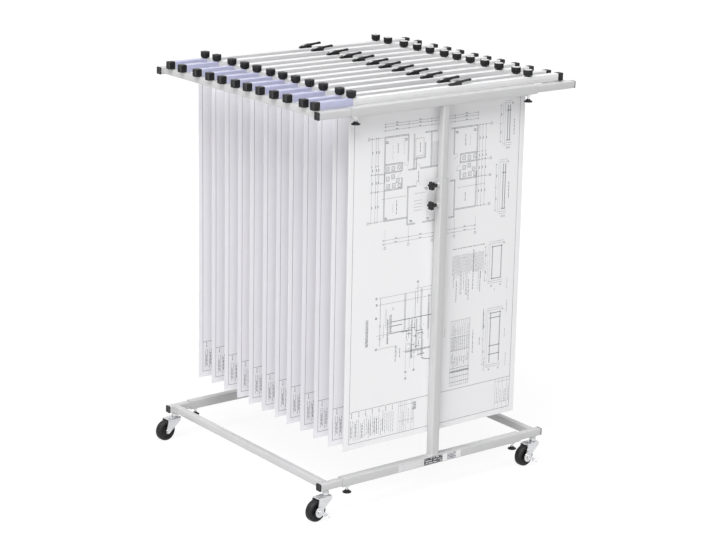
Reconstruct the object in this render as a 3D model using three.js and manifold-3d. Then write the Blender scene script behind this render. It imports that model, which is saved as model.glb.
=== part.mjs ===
// Plan hanging rack: a wheeled frame of telescopic square tube that carries clamp hangers side by side,
// each gripping a set of plans. Millimetres, +Z up, front towards -Y, left towards -X.
// The origin is on the floor, midway between the two posts.

import * as THREE from "three";
import { mergeVertices } from "three/addons/utils/BufferGeometryUtils.js";
import Module from "manifold-3d";

// Square tubes: each inner tube slides in an outer one
const FRAME_DEPTH = 770; // front to back over the inner tubes
const INNER_TUBE = 20;
const INNER_WALL = 1.5;
const OUTER_WALL = 2;
const SLIDE_CLEARANCE = 0.5; // on each side of an inner tube
const TUBE_CORNER = 2.2; // outside corner radius of every tube
const CAP_THICKNESS = 3; // end cap that closes an arm

// Rails and end frames: how far the parts are drawn out
const OUTER_RAIL_LENGTH = 640;
const ARM_LENGTH = 290; // inner arm of an end frame, cap included
const CROSS_SETBACK = 15; // cap face to cross tube
const BASE_REACH_LEFT = 75; // cap face beyond the outer rail
const BASE_REACH_RIGHT = 82;
const TOP_MARGIN_LEFT = 101; // plan edge to cross tube
const TOP_MARGIN_RIGHT = 107;

// Posts
const LOWER_POST_LENGTH = 791;
const UPPER_POST_LENGTH = 588;
const POST_EXTENSION = 198.5; // bare upper post at this setting

// Locking screws: thumb screws under the rails, star knobs on the posts
const LOCK_INSET = 22; // thumb screw axis to the outer rail's end
const BOSS_RADIUS = 7;
const BOSS_HEIGHT = 6;
const SCREW_RADIUS = 3;
const SCREW_GAP = 0.3; // screw tip to the inner tube
const THUMB_STEM = 7.5; // bare screw between boss and thumb knob
const THUMB_RADIUS = 12.5;
const THUMB_HEIGHT = 9;
const THUMB_RIM = 3.5; // height of the knob's edge
const THUMB_NECK_RADIUS = 5; // the knob is hat-shaped and narrows to this
const STAR_DROP = 19; // post top to the upper star knob
const STAR_PITCH = 54.5;
const STAR_RADIUS = 12.5;
const STAR_DEPTH = 8;
const STAR_NECK = 13;
const STAR_NECK_RADIUS = 5;
const STAR_LOBES = 6;
const STAR_FLUTE = 4; // how deep the hollows between lobes are

// Casters
const WHEEL_DIAMETER = 61;
const WHEEL_WIDTH = 22;
const WHEEL_SIDES = 24;
const HUB_RADIUS = 10;
const HUB_PROUD = 1; // hub face beyond the tyre's side
const WHEEL_DISH = 3; // hollow of the web beside the hub
const TYRE_DEPTH = 4;
const TREAD_ROUND = 4; // how far the tread's shoulder runs in
const AXLE_RADIUS = 4;
const RUNNING_GAP = 0.4; // round a turning piece
const FORK_WALL = 2.5;
const FORK_SIDE_GAP = 1.2; // hub face to fork leg
const AXLE_HEAD_RADIUS = 6.5;
const AXLE_HEAD = 3;
const FORK_EYE_RADIUS = 8; // end of a leg round the axle
const FORK_NOSE = 11; // leg's leading edge ahead of the swivel axis
const FORK_TAIL = 34; // leg's trailing edge at the crown, behind that axis
const FORK_CHEEK = 10; // depth of the leg under the crown
const CASTER_TRAIL = 36;
const CASTER_HEADING = THREE.MathUtils.degToRad(6.5); // turn from trailing straight to the left
const CROWN_THICKNESS = 3;
const CROWN_CLEARANCE = 3; // tyre to the crown
const KINGPIN_RADIUS = 4;
const KINGPIN_HEAD_RADIUS = 7;
const KINGPIN_HEAD = 3.5;
const STEM_RADIUS = 8.5;
const STEM_LENGTH = 14.9; // base tube to crown, nut included
const STEM_NUT_RADIUS = 10;
const STEM_NUT_HEIGHT = 8;
const BRAKE_PLATE = 2.5;
const BRAKE_EYE_RADIUS = 15; // round plate over the wheel's hub
const BRAKE_ARM = 34;
const BRAKE_ARM_WIDTH = 8;
const PEDAL_LENGTH = 14;
const BRAKE_PEDAL = 12; // how far the pedal stands out sideways
const BRAKE_DROP = THREE.MathUtils.degToRad(-30); // direction of the arm below level

// Hangers: an aluminium clamp bar with end caps, two clamping knobs and a quick lever
const HANGER_STATIONS = [0, 0.07, 0.172, 0.258, 0.348, 0.432, 0.513, 0.605, 0.689, 0.778, 0.886, 0.97];
const SEAT_GAP = 1; // front hanger to the rail beside it
const REST_GAP = 0.3; // hanger to the cross tubes it lies on
const HANGER_WIDTH = 19;
const HANGER_HEIGHT = 21;
const HANGER_CORNER = 2;
const HANGER_OVERHANG_LEFT = 12; // beyond the cross tube's outer face
const HANGER_OVERHANG_RIGHT = -11; // short of it on this side
const HANGER_CAP_LENGTH = 16;
const HANGER_CAP_LIP = 0.5; // cap proud of the bar all round
const SLOT_DEPTH = 14;
const SLOT_MOUTH = 2; // lead-in at the slot's lower edge
const PLAN_GRIP = 12; // plan inside the slot
const KNOB_LEFT = -297; // knob axes along the bar
const KNOB_RIGHT = 314;
const KNOB_TOP_RADIUS = 13.7;
const KNOB_FOOT_RADIUS = 9;
const KNOB_HEAD = 15; // its lower third narrows to the foot
const KNOB_NECK = 4;
const KNOB_NECK_RADIUS = 6;
const KNOB_LOBES = 6;
const KNOB_FLUTE = 1.8;

// Quick lever on each hanger, pivoting in a bracket on the bar
const LEVER_OFFSET = 56.5; // bar's middle to the pivot, towards the right
const PIVOT_HEIGHT = 6.5;
const PIVOT_RADIUS = 2;
const LEVER_HUB_RADIUS = 5.6;
const LEVER_WIDTH = 7;
const LEVER_REACH = 39;
const LEVER_RISE = 4.5;
const LEVER_TIP = 2.5; // tip radius
const BRACKET_NOSE = 33; // pivot to the nose's point
const BRACKET_TAIL = 8;
const BRACKET_EAR = 2.8;

// Plans: each hanger holds one set, hanging from its upper edge
const PLAN_WIDTH = 610;
const PLAN_LENGTH = 960;
const PLAN_TRIM = 2.1; // each plan is shorter than the one before it
const PLAN_THICKNESS = 1;
const PLAN_GAP = 0.3; // plan to each jaw
const PLAN_OFFSET = 17; // plan's middle from the posts, to the right
// where each set sits in its hanger, along the bar from that middle
const PLAN_SHIFTS = [-14, -28, -25, -25, -27, -26, -30, -30, -30, -32, -26, -32];
const PLAN_SWING = 8; // how far the lower edge stands forward of the slot
const PLAN_STEPS = 5;

// Derived levels and places
const OUTER_BORE = INNER_TUBE + 2 * SLIDE_CLEARANCE;
const OUTER_TUBE = OUTER_BORE + 2 * OUTER_WALL;
const INNER_BORE = INNER_TUBE - 2 * INNER_WALL;
const RAIL_Y = (FRAME_DEPTH - INNER_TUBE) / 2;
const RAIL_END = OUTER_RAIL_LENGTH / 2;
const WHEEL_RADIUS = WHEEL_DIAMETER / 2;
const AXLE_Z = WHEEL_RADIUS * Math.cos(Math.PI / WHEEL_SIDES); // a flat of the tread meets the floor
const CROWN_Z = AXLE_Z + WHEEL_RADIUS + CROWN_CLEARANCE;
const KINGPIN_FOOT_Z = CROWN_Z - RUNNING_GAP - KINGPIN_HEAD;
const STEM_FOOT_Z = CROWN_Z + CROWN_THICKNESS + RUNNING_GAP;
const BASE_BOTTOM_Z = STEM_FOOT_Z + STEM_LENGTH;
const BASE_Z = BASE_BOTTOM_Z + INNER_TUBE / 2;
const POST_FOOT_Z = BASE_Z + OUTER_TUBE / 2;
const POST_TOP_Z = POST_FOOT_Z + LOWER_POST_LENGTH;
const TOP_Z = POST_TOP_Z + POST_EXTENSION + OUTER_TUBE / 2;
const PLAN_LEFT = PLAN_OFFSET - PLAN_WIDTH / 2;
const PLAN_RIGHT = PLAN_OFFSET + PLAN_WIDTH / 2;
const CROSS_OUTER_LEFT = PLAN_LEFT - TOP_MARGIN_LEFT - INNER_TUBE;
const CROSS_OUTER_RIGHT = PLAN_RIGHT + TOP_MARGIN_RIGHT + INNER_TUBE;
const CAP_X = {
  base_left: -RAIL_END - BASE_REACH_LEFT,
  base_right: RAIL_END + BASE_REACH_RIGHT,
  top_left: CROSS_OUTER_LEFT - CROSS_SETBACK,
  top_right: CROSS_OUTER_RIGHT + CROSS_SETBACK,
};
const HANGER_LEFT = CROSS_OUTER_LEFT - HANGER_OVERHANG_LEFT;
const HANGER_RIGHT = CROSS_OUTER_RIGHT + HANGER_OVERHANG_RIGHT;
const HANGER_Z = TOP_Z + INNER_TUBE / 2 + REST_GAP;
const HANGER_TOP_Z = HANGER_Z + HANGER_HEIGHT;
const LEVER_X = (HANGER_LEFT + HANGER_RIGHT) / 2 + LEVER_OFFSET;
const FRONT_SEAT_Y = -RAIL_Y + OUTER_TUBE / 2 + SEAT_GAP + HANGER_WIDTH / 2 + HANGER_CAP_LIP;
const HUB_HALF = WHEEL_WIDTH / 2 + HUB_PROUD;
const FORK_INNER = HUB_HALF + FORK_SIDE_GAP;
const FORK_OUTER = FORK_INNER + FORK_WALL;

// Facets
const CORNER_STEPS = 2;
const BEVELLED = { curveSegments: 1 }; // a repeated piece has plain bevels for its small corners
const ROD_SIDES = 12;
const PIN_SIDES = 8;
const DISC_SIDES = 14;
const OVERSHOOT = 1; // how far a cutter runs past what it cuts
const BITE = 0.5; // how far joined shapes run into each other
const WELD = 1e-4;

const FINISH = {
  tube: new THREE.MeshStandardMaterial({ color: 0xe6e7e9, roughness: 0.42, metalness: 0.1 }),
  aluminium: new THREE.MeshStandardMaterial({ color: 0xd4d6d9, roughness: 0.35, metalness: 0.9 }),
  plastic: new THREE.MeshStandardMaterial({ color: 0x1b1b1d, roughness: 0.55, metalness: 0 }),
  zinc: new THREE.MeshStandardMaterial({ color: 0xc6c9cc, roughness: 0.3, metalness: 1 }),
  tyre: new THREE.MeshStandardMaterial({ color: 0x141415, roughness: 0.7, metalness: 0 }),
  paper: new THREE.MeshStandardMaterial({ color: 0xf3f2f7, roughness: 0.9, metalness: 0 }),
};

const wasm = await Module();
wasm.setup();

// A closed three.js geometry as a solid that can be joined and cut.
function toSolid(geometry) {
  const bare = geometry.clone();
  bare.deleteAttribute("normal");
  bare.deleteAttribute("uv");
  const merged = mergeVertices(bare, WELD);
  const mesh = new wasm.Mesh({
    numProp: 3,
    vertProperties: merged.attributes.position.array,
    triVerts: new Uint32Array(merged.index.array),
  });
  return new wasm.Manifold(mesh);
}

function toGeometry(solid) {
  const mesh = solid.getMesh();
  const geometry = new THREE.BufferGeometry();
  geometry.setAttribute("position", new THREE.BufferAttribute(mesh.vertProperties, 3));
  geometry.setIndex(new THREE.BufferAttribute(mesh.triVerts, 1));
  geometry.computeVertexNormals();
  return geometry;
}

function join(geometries) {
  return geometries.map(toSolid).reduce((whole, piece) => whole.add(piece));
}

function cut(solid, geometries) {
  return geometries.map(toSolid).reduce((left, tool) => left.subtract(tool), solid);
}

// Basic shapes, each placed in the frame of its piece
function box(x0, x1, y0, y1, z0, z1) {
  const geometry = new THREE.BoxGeometry(x1 - x0, y1 - y0, z1 - z0);
  return geometry.translate((x0 + x1) / 2, (y0 + y1) / 2, (z0 + z1) / 2);
}

function rodZ(radius, z0, z1, x = 0, y = 0, sides = ROD_SIDES) {
  const geometry = new THREE.CylinderGeometry(radius, radius, z1 - z0, sides);
  return geometry.rotateX(Math.PI / 2).translate(x, y, (z0 + z1) / 2);
}

function rodY(radius, y0, y1, x, z, sides = ROD_SIDES) {
  const geometry = new THREE.CylinderGeometry(radius, radius, y1 - y0, sides);
  return geometry.translate(x, (y0 + y1) / 2, z);
}

function rodX(radius, x0, x1, y, z, sides = ROD_SIDES) {
  const geometry = new THREE.CylinderGeometry(radius, radius, x1 - x0, sides);
  return geometry.rotateZ(Math.PI / 2).translate((x0 + x1) / 2, y, z);
}

function extrude(shape, depth, options = {}) {
  return new THREE.ExtrudeGeometry(shape, {
    depth,
    bevelEnabled: false,
    curveSegments: CORNER_STEPS,
    steps: 1,
    ...options,
  });
}

// A section drawn in (Y, Z), drawn out along X.
function alongX(shape, x0, x1, options) {
  const turn = new THREE.Matrix4().makeBasis(
    new THREE.Vector3(0, 1, 0),
    new THREE.Vector3(0, 0, 1),
    new THREE.Vector3(1, 0, 0),
  );
  return extrude(shape, x1 - x0, options).applyMatrix4(turn).translate(x0, 0, 0);
}

// A side view drawn in (X, Z), drawn out from y0 to y1.
function acrossY(shape, y0, y1, options) {
  return extrude(shape, y1 - y0, options).rotateX(Math.PI / 2).translate(0, y1, 0);
}

function roundedRectangle(width, height, radius) {
  const x = width / 2 - radius;
  const y = height / 2 - radius;
  const shape = new THREE.Shape();
  shape.absarc(x, -y, radius, -Math.PI / 2, 0);
  shape.absarc(x, y, radius, 0, Math.PI / 2);
  shape.absarc(-x, y, radius, Math.PI / 2, Math.PI);
  shape.absarc(-x, -y, radius, Math.PI, 1.5 * Math.PI);
  return shape;
}

function squareTubeX(size, x0, x1, y, z) {
  return alongX(roundedRectangle(size, size, TUBE_CORNER), x0, x1).translate(0, y, z);
}

function squareTubeZ(size, z0, z1) {
  return extrude(roundedRectangle(size, size, TUBE_CORNER), z1 - z0).translate(0, 0, z0);
}

function squareTubeY(size, y0, y1, x, z) {
  const bar = extrude(roundedRectangle(size, size, TUBE_CORNER), y1 - y0);
  return bar.rotateX(-Math.PI / 2).translate(x, y0, z);
}

// A round outline with lobes, such as a hand knob has.
function lobedOutline(radius, lobes, flute, stepsPerLobe) {
  const count = lobes * stepsPerLobe;
  const points = Array.from({ length: count }, (_, i) => {
    const angle = (2 * Math.PI * i) / count;
    const r = radius - (flute / 2) * (1 - Math.cos(lobes * angle));
    return new THREE.Vector2(r * Math.cos(angle), r * Math.sin(angle));
  });
  return new THREE.Shape(points);
}

// Thumb screw that locks an arm: welded boss, screw and knob, hanging under a rail.
function thumbScrew(x, railZ) {
  const bossTop = railZ - OUTER_TUBE / 2;
  const bossFoot = bossTop - BOSS_HEIGHT;
  const knobTop = bossFoot - THUMB_STEM;
  const knobFoot = knobTop - THUMB_HEIGHT;
  const profile = [
    new THREE.Vector2(0, knobFoot),
    new THREE.Vector2(THUMB_RADIUS - 1, knobFoot),
    new THREE.Vector2(THUMB_RADIUS, knobFoot + THUMB_RIM / 2),
    new THREE.Vector2(THUMB_RADIUS - 1, knobFoot + THUMB_RIM),
    new THREE.Vector2(THUMB_NECK_RADIUS, knobTop),
    new THREE.Vector2(0, knobTop),
  ];
  const knob = new THREE.LatheGeometry(profile, ROD_SIDES).rotateX(Math.PI / 2).translate(x, 0, 0);
  const tip = railZ - INNER_TUBE / 2 - SCREW_GAP;
  return [
    rodZ(BOSS_RADIUS, bossFoot, bossTop + BITE, x, 0, PIN_SIDES),
    rodZ(SCREW_RADIUS, knobTop - BITE, tip, x, 0, PIN_SIDES),
    knob,
  ];
}

function starHeights() {
  return { upper: POST_TOP_Z - STAR_DROP, lower: POST_TOP_Z - STAR_DROP - STAR_PITCH };
}

// Lower frame: an outer rail with the lower post on its middle. The rail's own line is y = 0.
function lowerFrame() {
  const postFace = -OUTER_TUBE / 2;
  const bosses = Object.values(starHeights()).map((z) =>
    rodX(BOSS_RADIUS, postFace - BOSS_HEIGHT, postFace + BITE, 0, z, PIN_SIDES),
  );
  const tapped = Object.values(starHeights()).map((z) =>
    rodX(SCREW_RADIUS + RUNNING_GAP, postFace - BOSS_HEIGHT - OVERSHOOT, 0, 0, z, PIN_SIDES),
  );
  const body = join([
    squareTubeX(OUTER_TUBE, -RAIL_END, RAIL_END, 0, BASE_Z),
    squareTubeZ(OUTER_TUBE, POST_FOOT_Z - OUTER_WALL, POST_TOP_Z),
    ...bosses,
  ]);
  const hollow = cut(body, [
    railBore(BASE_Z),
    box(...bore(OUTER_BORE), POST_FOOT_Z, POST_TOP_Z + OVERSHOOT),
    ...tapped,
  ]);
  return addAll(hollow, lockScrews(BASE_Z));
}

// Upper frame: the upper post with an outer rail across its top.
function upperFrame() {
  const foot = POST_TOP_Z + POST_EXTENSION - UPPER_POST_LENGTH;
  const railFoot = TOP_Z - OUTER_TUBE / 2;
  const body = join([
    squareTubeX(OUTER_TUBE, -RAIL_END, RAIL_END, 0, TOP_Z),
    squareTubeZ(INNER_TUBE, foot, railFoot + OUTER_WALL),
  ]);
  const hollow = cut(body, [railBore(TOP_Z), box(...bore(INNER_BORE), foot - OVERSHOOT, railFoot)]);
  return addAll(hollow, lockScrews(TOP_Z));
}

function bore(size) {
  return [-size / 2, size / 2, -size / 2, size / 2];
}

function railBore(z) {
  const half = OUTER_BORE / 2;
  return box(-RAIL_END - OVERSHOOT, RAIL_END + OVERSHOOT, -half, half, z - half, z + half);
}

function lockScrews(z) {
  const x = RAIL_END - LOCK_INSET;
  return [...thumbScrew(-x, z), ...thumbScrew(x, z)];
}

function addAll(solid, geometries) {
  return geometries.map(toSolid).reduce((whole, piece) => whole.add(piece), solid);
}

// Star knob with its stud, in the frame of the post that it locks.
function starKnob(z) {
  const neckFace = -OUTER_TUBE / 2 - BOSS_HEIGHT - RUNNING_GAP;
  const headFace = neckFace - STAR_NECK;
  const outline = lobedOutline(STAR_RADIUS - 1, STAR_LOBES, STAR_FLUTE, 4);
  const bevel = { bevelEnabled: true, bevelThickness: 1.5, bevelSize: 1, bevelSegments: 1 };
  const head = alongX(outline, headFace - STAR_DEPTH + 1.5, headFace - 1.5, bevel).translate(0, 0, z);
  return join([
    head,
    rodX(STAR_NECK_RADIUS, headFace - BITE, neckFace, 0, z, PIN_SIDES),
    rodX(SCREW_RADIUS, headFace - BITE, -INNER_TUBE / 2 - SCREW_GAP, 0, z, PIN_SIDES),
  ]);
}

// End frame: two arms and the cross tube between them. x = 0 is the cap's face, and x grows inwards.
function endFrame(z, withKingpins) {
  const crossX = CROSS_SETBACK + INNER_TUBE / 2;
  const half = INNER_BORE / 2;
  const sides = [-RAIL_Y, RAIL_Y];
  const body = join([
    ...sides.map((y) => squareTubeX(INNER_TUBE, 0, ARM_LENGTH, y, z)),
    squareTubeY(INNER_TUBE, -RAIL_Y, RAIL_Y, crossX, z),
  ]);
  const hollow = cut(body, [
    ...sides.map((y) =>
      box(CAP_THICKNESS, ARM_LENGTH + OVERSHOOT, y - half, y + half, z - half, z + half),
    ),
    box(crossX - half, crossX + half, -RAIL_Y, RAIL_Y, z - half, z + half),
  ]);
  const pins = withKingpins ? sides.flatMap((y) => kingpin(crossX, y)) : [];
  return addAll(hollow, pins);
}

// Kingpin that a caster swivels on: stem with its nut, pin and the riveted head under the fork's crown.
function kingpin(x, y) {
  return [
    rodZ(STEM_RADIUS, STEM_FOOT_Z, BASE_BOTTOM_Z + BITE, x, y, ROD_SIDES),
    rodZ(STEM_NUT_RADIUS, STEM_FOOT_Z, STEM_FOOT_Z + STEM_NUT_HEIGHT, x, y, 6),
    rodZ(KINGPIN_RADIUS, KINGPIN_FOOT_Z, BASE_BOTTOM_Z, x, y, PIN_SIDES),
    rodZ(KINGPIN_HEAD_RADIUS, KINGPIN_FOOT_Z, KINGPIN_FOOT_Z + KINGPIN_HEAD, x, y, PIN_SIDES),
  ];
}

// Side view of a fork leg, from the crown back to the axle.
function forkLeg() {
  const crownTop = CROWN_Z + CROWN_THICKNESS;
  const cheek = crownTop - FORK_CHEEK;
  const shape = new THREE.Shape();
  shape.moveTo(-FORK_TAIL, crownTop);
  shape.lineTo(-CASTER_TRAIL - FORK_EYE_RADIUS, AXLE_Z + 2);
  shape.absarc(-CASTER_TRAIL, AXLE_Z, FORK_EYE_RADIUS, Math.PI, 1.7 * Math.PI);
  shape.lineTo(FORK_NOSE, cheek);
  shape.lineTo(FORK_NOSE, crownTop);
  return shape;
}

// Caster fork, one bent plate: in the caster's own frame the swivel axis is at x = y = 0 and the wheel
// trails towards -X.
function casterFork(braked) {
  const leg = forkLeg();
  const rounded = { curveSegments: 5 };
  const crownTop = CROWN_Z + CROWN_THICKNESS;
  const brakeRoom = braked ? BRAKE_PLATE + 2 * RUNNING_GAP : 0;
  const headY = -FORK_OUTER - brakeRoom;
  const body = join([
    box(-FORK_TAIL, FORK_NOSE, -FORK_OUTER, FORK_OUTER, CROWN_Z, crownTop),
    acrossY(leg, FORK_INNER, FORK_OUTER, rounded),
    acrossY(leg, -FORK_OUTER, -FORK_INNER, rounded),
    rodY(AXLE_RADIUS, headY - BITE, FORK_OUTER, -CASTER_TRAIL, AXLE_Z, PIN_SIDES),
    rodY(AXLE_HEAD_RADIUS, FORK_OUTER - BITE, FORK_OUTER + AXLE_HEAD, -CASTER_TRAIL, AXLE_Z, 6),
    rodY(AXLE_HEAD_RADIUS, headY - AXLE_HEAD, headY + (braked ? 0 : BITE), -CASTER_TRAIL, AXLE_Z, 6),
  ]);
  const hole = rodZ(KINGPIN_RADIUS + RUNNING_GAP, CROWN_Z - OVERSHOOT, crownTop + OVERSHOOT);
  return cut(body, [hole]);
}

// Wheel: crowned tyre, dished sides and a hub, turned about its axle.
function casterWheel() {
  const half = WHEEL_WIDTH / 2;
  const right = [
    [AXLE_RADIUS + RUNNING_GAP, HUB_HALF],
    [HUB_RADIUS, HUB_HALF],
    [HUB_RADIUS, half - WHEEL_DISH],
    [WHEEL_RADIUS - TYRE_DEPTH, half],
    [WHEEL_RADIUS, half - TREAD_ROUND],
  ];
  const left = right.map(([r, y]) => [r, -y]);
  const outline = [...left, ...right.reverse(), left[0]];
  const points = outline.map(([r, y]) => new THREE.Vector2(r, y));
  const wheel = new THREE.LatheGeometry(points, WHEEL_SIDES, Math.PI / WHEEL_SIDES);
  return toSolid(wheel.translate(-CASTER_TRAIL, 0, AXLE_Z));
}

// Brake: a plate on the axle outside the fork, with an arm and a pedal that is pressed down.
function casterBrake() {
  const half = BRAKE_ARM_WIDTH / 2;
  const inner = -FORK_OUTER - RUNNING_GAP;
  const outer = inner - BRAKE_PLATE;
  const eye = rodY(BRAKE_EYE_RADIUS, outer, inner, 0, 0, DISC_SIDES);
  const arm = box(0, BRAKE_ARM, outer, inner, -half, half);
  const pedalTop = BRAKE_PLATE - half;
  const pedal = box(BRAKE_ARM - PEDAL_LENGTH, BRAKE_ARM, outer - BRAKE_PEDAL, inner, -half, pedalTop);
  const hole = rodY(AXLE_RADIUS + RUNNING_GAP, outer - OVERSHOOT, inner + OVERSHOOT, 0, 0);
  const brake = toGeometry(cut(join([eye, arm, pedal]), [hole]));
  return toSolid(brake.rotateY(-BRAKE_DROP).translate(-CASTER_TRAIL, 0, AXLE_Z));
}

// Section of a hanger's bar in (Y, Z): z = 0 is its underside, with the slot that grips the plans.
function hangerSection() {
  const half = HANGER_WIDTH / 2;
  const slot = PLAN_THICKNESS / 2 + PLAN_GAP;
  const top = HANGER_HEIGHT - HANGER_CORNER;
  const shape = new THREE.Shape();
  shape.moveTo(slot + SLOT_MOUTH, 0);
  shape.lineTo(half, 0);
  shape.absarc(half - HANGER_CORNER, top, HANGER_CORNER, 0, 0.5 * Math.PI);
  shape.absarc(-half + HANGER_CORNER, top, HANGER_CORNER, 0.5 * Math.PI, Math.PI);
  shape.lineTo(-half, 0);
  shape.lineTo(-slot - SLOT_MOUTH, 0);
  shape.lineTo(-slot, SLOT_MOUTH);
  shape.lineTo(-slot, SLOT_DEPTH);
  shape.lineTo(slot, SLOT_DEPTH);
  shape.lineTo(slot, SLOT_MOUTH);
  return shape;
}

function hangerCap(x0, x1) {
  const width = HANGER_WIDTH + 2 * HANGER_CAP_LIP;
  const height = HANGER_HEIGHT + HANGER_CAP_LIP;
  const section = roundedRectangle(width, height, HANGER_CORNER);
  return alongX(section, x0, x1, BEVELLED).translate(0, 0, HANGER_Z + height / 2);
}

// Clamping knob: a fluted head that narrows towards its neck, standing on the bar.
function clampKnob(x) {
  const foot = HANGER_TOP_Z + KNOB_NECK;
  const outline = lobedOutline(KNOB_TOP_RADIUS, KNOB_LOBES, KNOB_FLUTE, 2);
  const head = extrude(outline, KNOB_HEAD, { steps: 3 });
  const place = head.attributes.position;
  const taper = KNOB_FOOT_RADIUS / KNOB_TOP_RADIUS;
  for (let i = 0; i < place.count; i += 1) {
    const scale = place.getZ(i) > WELD ? 1 : taper;
    place.setX(i, place.getX(i) * scale);
    place.setY(i, place.getY(i) * scale);
  }
  return [
    head.translate(x, 0, foot),
    rodZ(KNOB_NECK_RADIUS, HANGER_TOP_Z - BITE, foot + BITE, x, 0, PIN_SIDES),
  ];
}

// Bracket that the quick lever turns in: a low wedge with two ears and the pin between them.
function leverBracket() {
  const earY = LEVER_WIDTH / 2 + RUNNING_GAP + BRACKET_EAR;
  const ear = LEVER_HUB_RADIUS - 0.8;
  const side = new THREE.Shape();
  side.moveTo(-BRACKET_NOSE, -BITE);
  side.lineTo(BRACKET_TAIL, -BITE);
  side.lineTo(BRACKET_TAIL, 1.5);
  side.absarc(0, PIVOT_HEIGHT, ear, 0, 0.6 * Math.PI);
  side.lineTo(-BRACKET_NOSE, 2.2);
  const wedge = acrossY(side, -earY, earY, { curveSegments: 3 });
  const slotY = LEVER_WIDTH / 2 + RUNNING_GAP;
  const reach = LEVER_HUB_RADIUS + RUNNING_GAP;
  const room = box(-reach, BRACKET_TAIL + OVERSHOOT, -slotY, slotY, PIVOT_HEIGHT - reach, 2 * PIVOT_HEIGHT);
  const pin = rodY(PIVOT_RADIUS, -earY, earY, 0, PIVOT_HEIGHT, PIN_SIDES);
  const bracket = addAll(cut(toSolid(wedge), [room]), [pin]);
  return toGeometry(bracket).translate(LEVER_X, 0, HANGER_TOP_Z);
}

function hangerBar() {
  const bar = alongX(hangerSection(), HANGER_LEFT, HANGER_RIGHT, BEVELLED).translate(0, 0, HANGER_Z);
  return join([
    bar,
    hangerCap(HANGER_LEFT, HANGER_LEFT + HANGER_CAP_LENGTH),
    hangerCap(HANGER_RIGHT - HANGER_CAP_LENGTH, HANGER_RIGHT),
    ...clampKnob(KNOB_LEFT),
    ...clampKnob(KNOB_RIGHT),
    leverBracket(),
  ]);
}

// Quick lever, closed: a round hub on the pin and an arm that rises a little towards its tip.
function hangerLever() {
  const hub = LEVER_HUB_RADIUS;
  const side = new THREE.Shape();
  side.moveTo(0, hub);
  side.quadraticCurveTo(0.45 * LEVER_REACH, 0.9 * hub, LEVER_REACH, LEVER_RISE + LEVER_TIP);
  side.absarc(LEVER_REACH, LEVER_RISE, LEVER_TIP, 0.5 * Math.PI, -0.5 * Math.PI, true);
  side.quadraticCurveTo(0.35 * LEVER_REACH, 0.6 * hub, 0.6 * hub, -0.8 * hub);
  side.absarc(0, 0, hub, -0.295 * Math.PI, -1.5 * Math.PI, true);
  const lever = acrossY(side, -LEVER_WIDTH / 2, LEVER_WIDTH / 2, { curveSegments: 3 });
  const hole = rodY(PIVOT_RADIUS + RUNNING_GAP, -LEVER_WIDTH, LEVER_WIDTH, 0, 0, PIN_SIDES);
  const bored = toGeometry(cut(toSolid(lever), [hole]));
  return toSolid(bored.translate(LEVER_X, 0, HANGER_TOP_Z + PIVOT_HEIGHT));
}

// Set of plans hanging from the slot. It leaves the jaws leaning forward and straightens towards its foot.
function planSheet(shift, length) {
  const hanging = (t) => {
    return new THREE.Vector2(-PLAN_SWING * (1 - (1 - t) ** 2), HANGER_Z - t * (length - PLAN_GRIP));
  };
  const loose = Array.from({ length: PLAN_STEPS + 1 }, (_, i) => hanging(i / PLAN_STEPS));
  const middle = [new THREE.Vector2(0, HANGER_Z + PLAN_GRIP), ...loose];
  const back = middle.map((p) => new THREE.Vector2(p.x + PLAN_THICKNESS / 2, p.y));
  const front = middle.map((p) => new THREE.Vector2(p.x - PLAN_THICKNESS / 2, p.y)).reverse();
  return toSolid(alongX(new THREE.Shape([...front, ...back]), PLAN_LEFT + shift, PLAN_RIGHT + shift));
}

// Scene graph
const rack = new THREE.Group();

function addNode(parent, name, solid, finish) {
  const mesh = new THREE.Mesh(toGeometry(solid), finish);
  mesh.name = name;
  parent.add(mesh);
}

function groupAt(x, y, turn = 0) {
  const group = new THREE.Group();
  group.position.set(x, y, 0);
  group.rotation.z = turn;
  rack.add(group);
  return group;
}

const sides = {
  front: groupAt(0, -RAIL_Y),
  back: groupAt(0, RAIL_Y, Math.PI),
};
for (const [side, group] of Object.entries(sides)) {
  addNode(group, `lower_frame_${side}`, lowerFrame(), FINISH.tube);
  addNode(group, `upper_frame_${side}`, upperFrame(), FINISH.tube);
  for (const [level, z] of Object.entries(starHeights())) {
    addNode(group, `star_knob_${side}_${level}`, starKnob(z), FINISH.plastic);
  }
}

for (const [end, capX] of Object.entries(CAP_X)) {
  const isBase = end.startsWith("base");
  const [level, side] = end.split("_");
  const group = groupAt(capX, 0, side === "right" ? Math.PI : 0);
  addNode(group, `${level}_end_${side}`, endFrame(isBase ? BASE_Z : TOP_Z, isBase), FINISH.tube);
}

const stemInset = CROSS_SETBACK + INNER_TUBE / 2;
const stemX = { left: CAP_X.base_left + stemInset, right: CAP_X.base_right - stemInset };
const stemY = { front: -RAIL_Y, back: RAIL_Y };
for (const [row, y] of Object.entries(stemY)) {
  for (const [side, x] of Object.entries(stemX)) {
    const group = groupAt(x, y, CASTER_HEADING);
    const braked = row === "front";
    addNode(group, `caster_fork_${row}_${side}`, casterFork(braked), FINISH.zinc);
    addNode(group, `caster_wheel_${row}_${side}`, casterWheel(), FINISH.tyre);
    if (braked) {
      addNode(group, `caster_brake_${row}_${side}`, casterBrake(), FINISH.zinc);
    }
  }
}

HANGER_STATIONS.forEach((station, index) => {
  const number = String(index + 1).padStart(2, "0");
  const group = groupAt(0, THREE.MathUtils.lerp(FRONT_SEAT_Y, -FRONT_SEAT_Y, station));
  addNode(group, `hanger_bar_${number}`, hangerBar(), FINISH.aluminium);
  addNode(group, `hanger_lever_${number}`, hangerLever(), FINISH.plastic);
  const plan = planSheet(PLAN_SHIFTS[index], PLAN_LENGTH - index * PLAN_TRIM);
  addNode(group, `plan_sheet_${number}`, plan, FINISH.paper);
});

export default rack;
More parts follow.
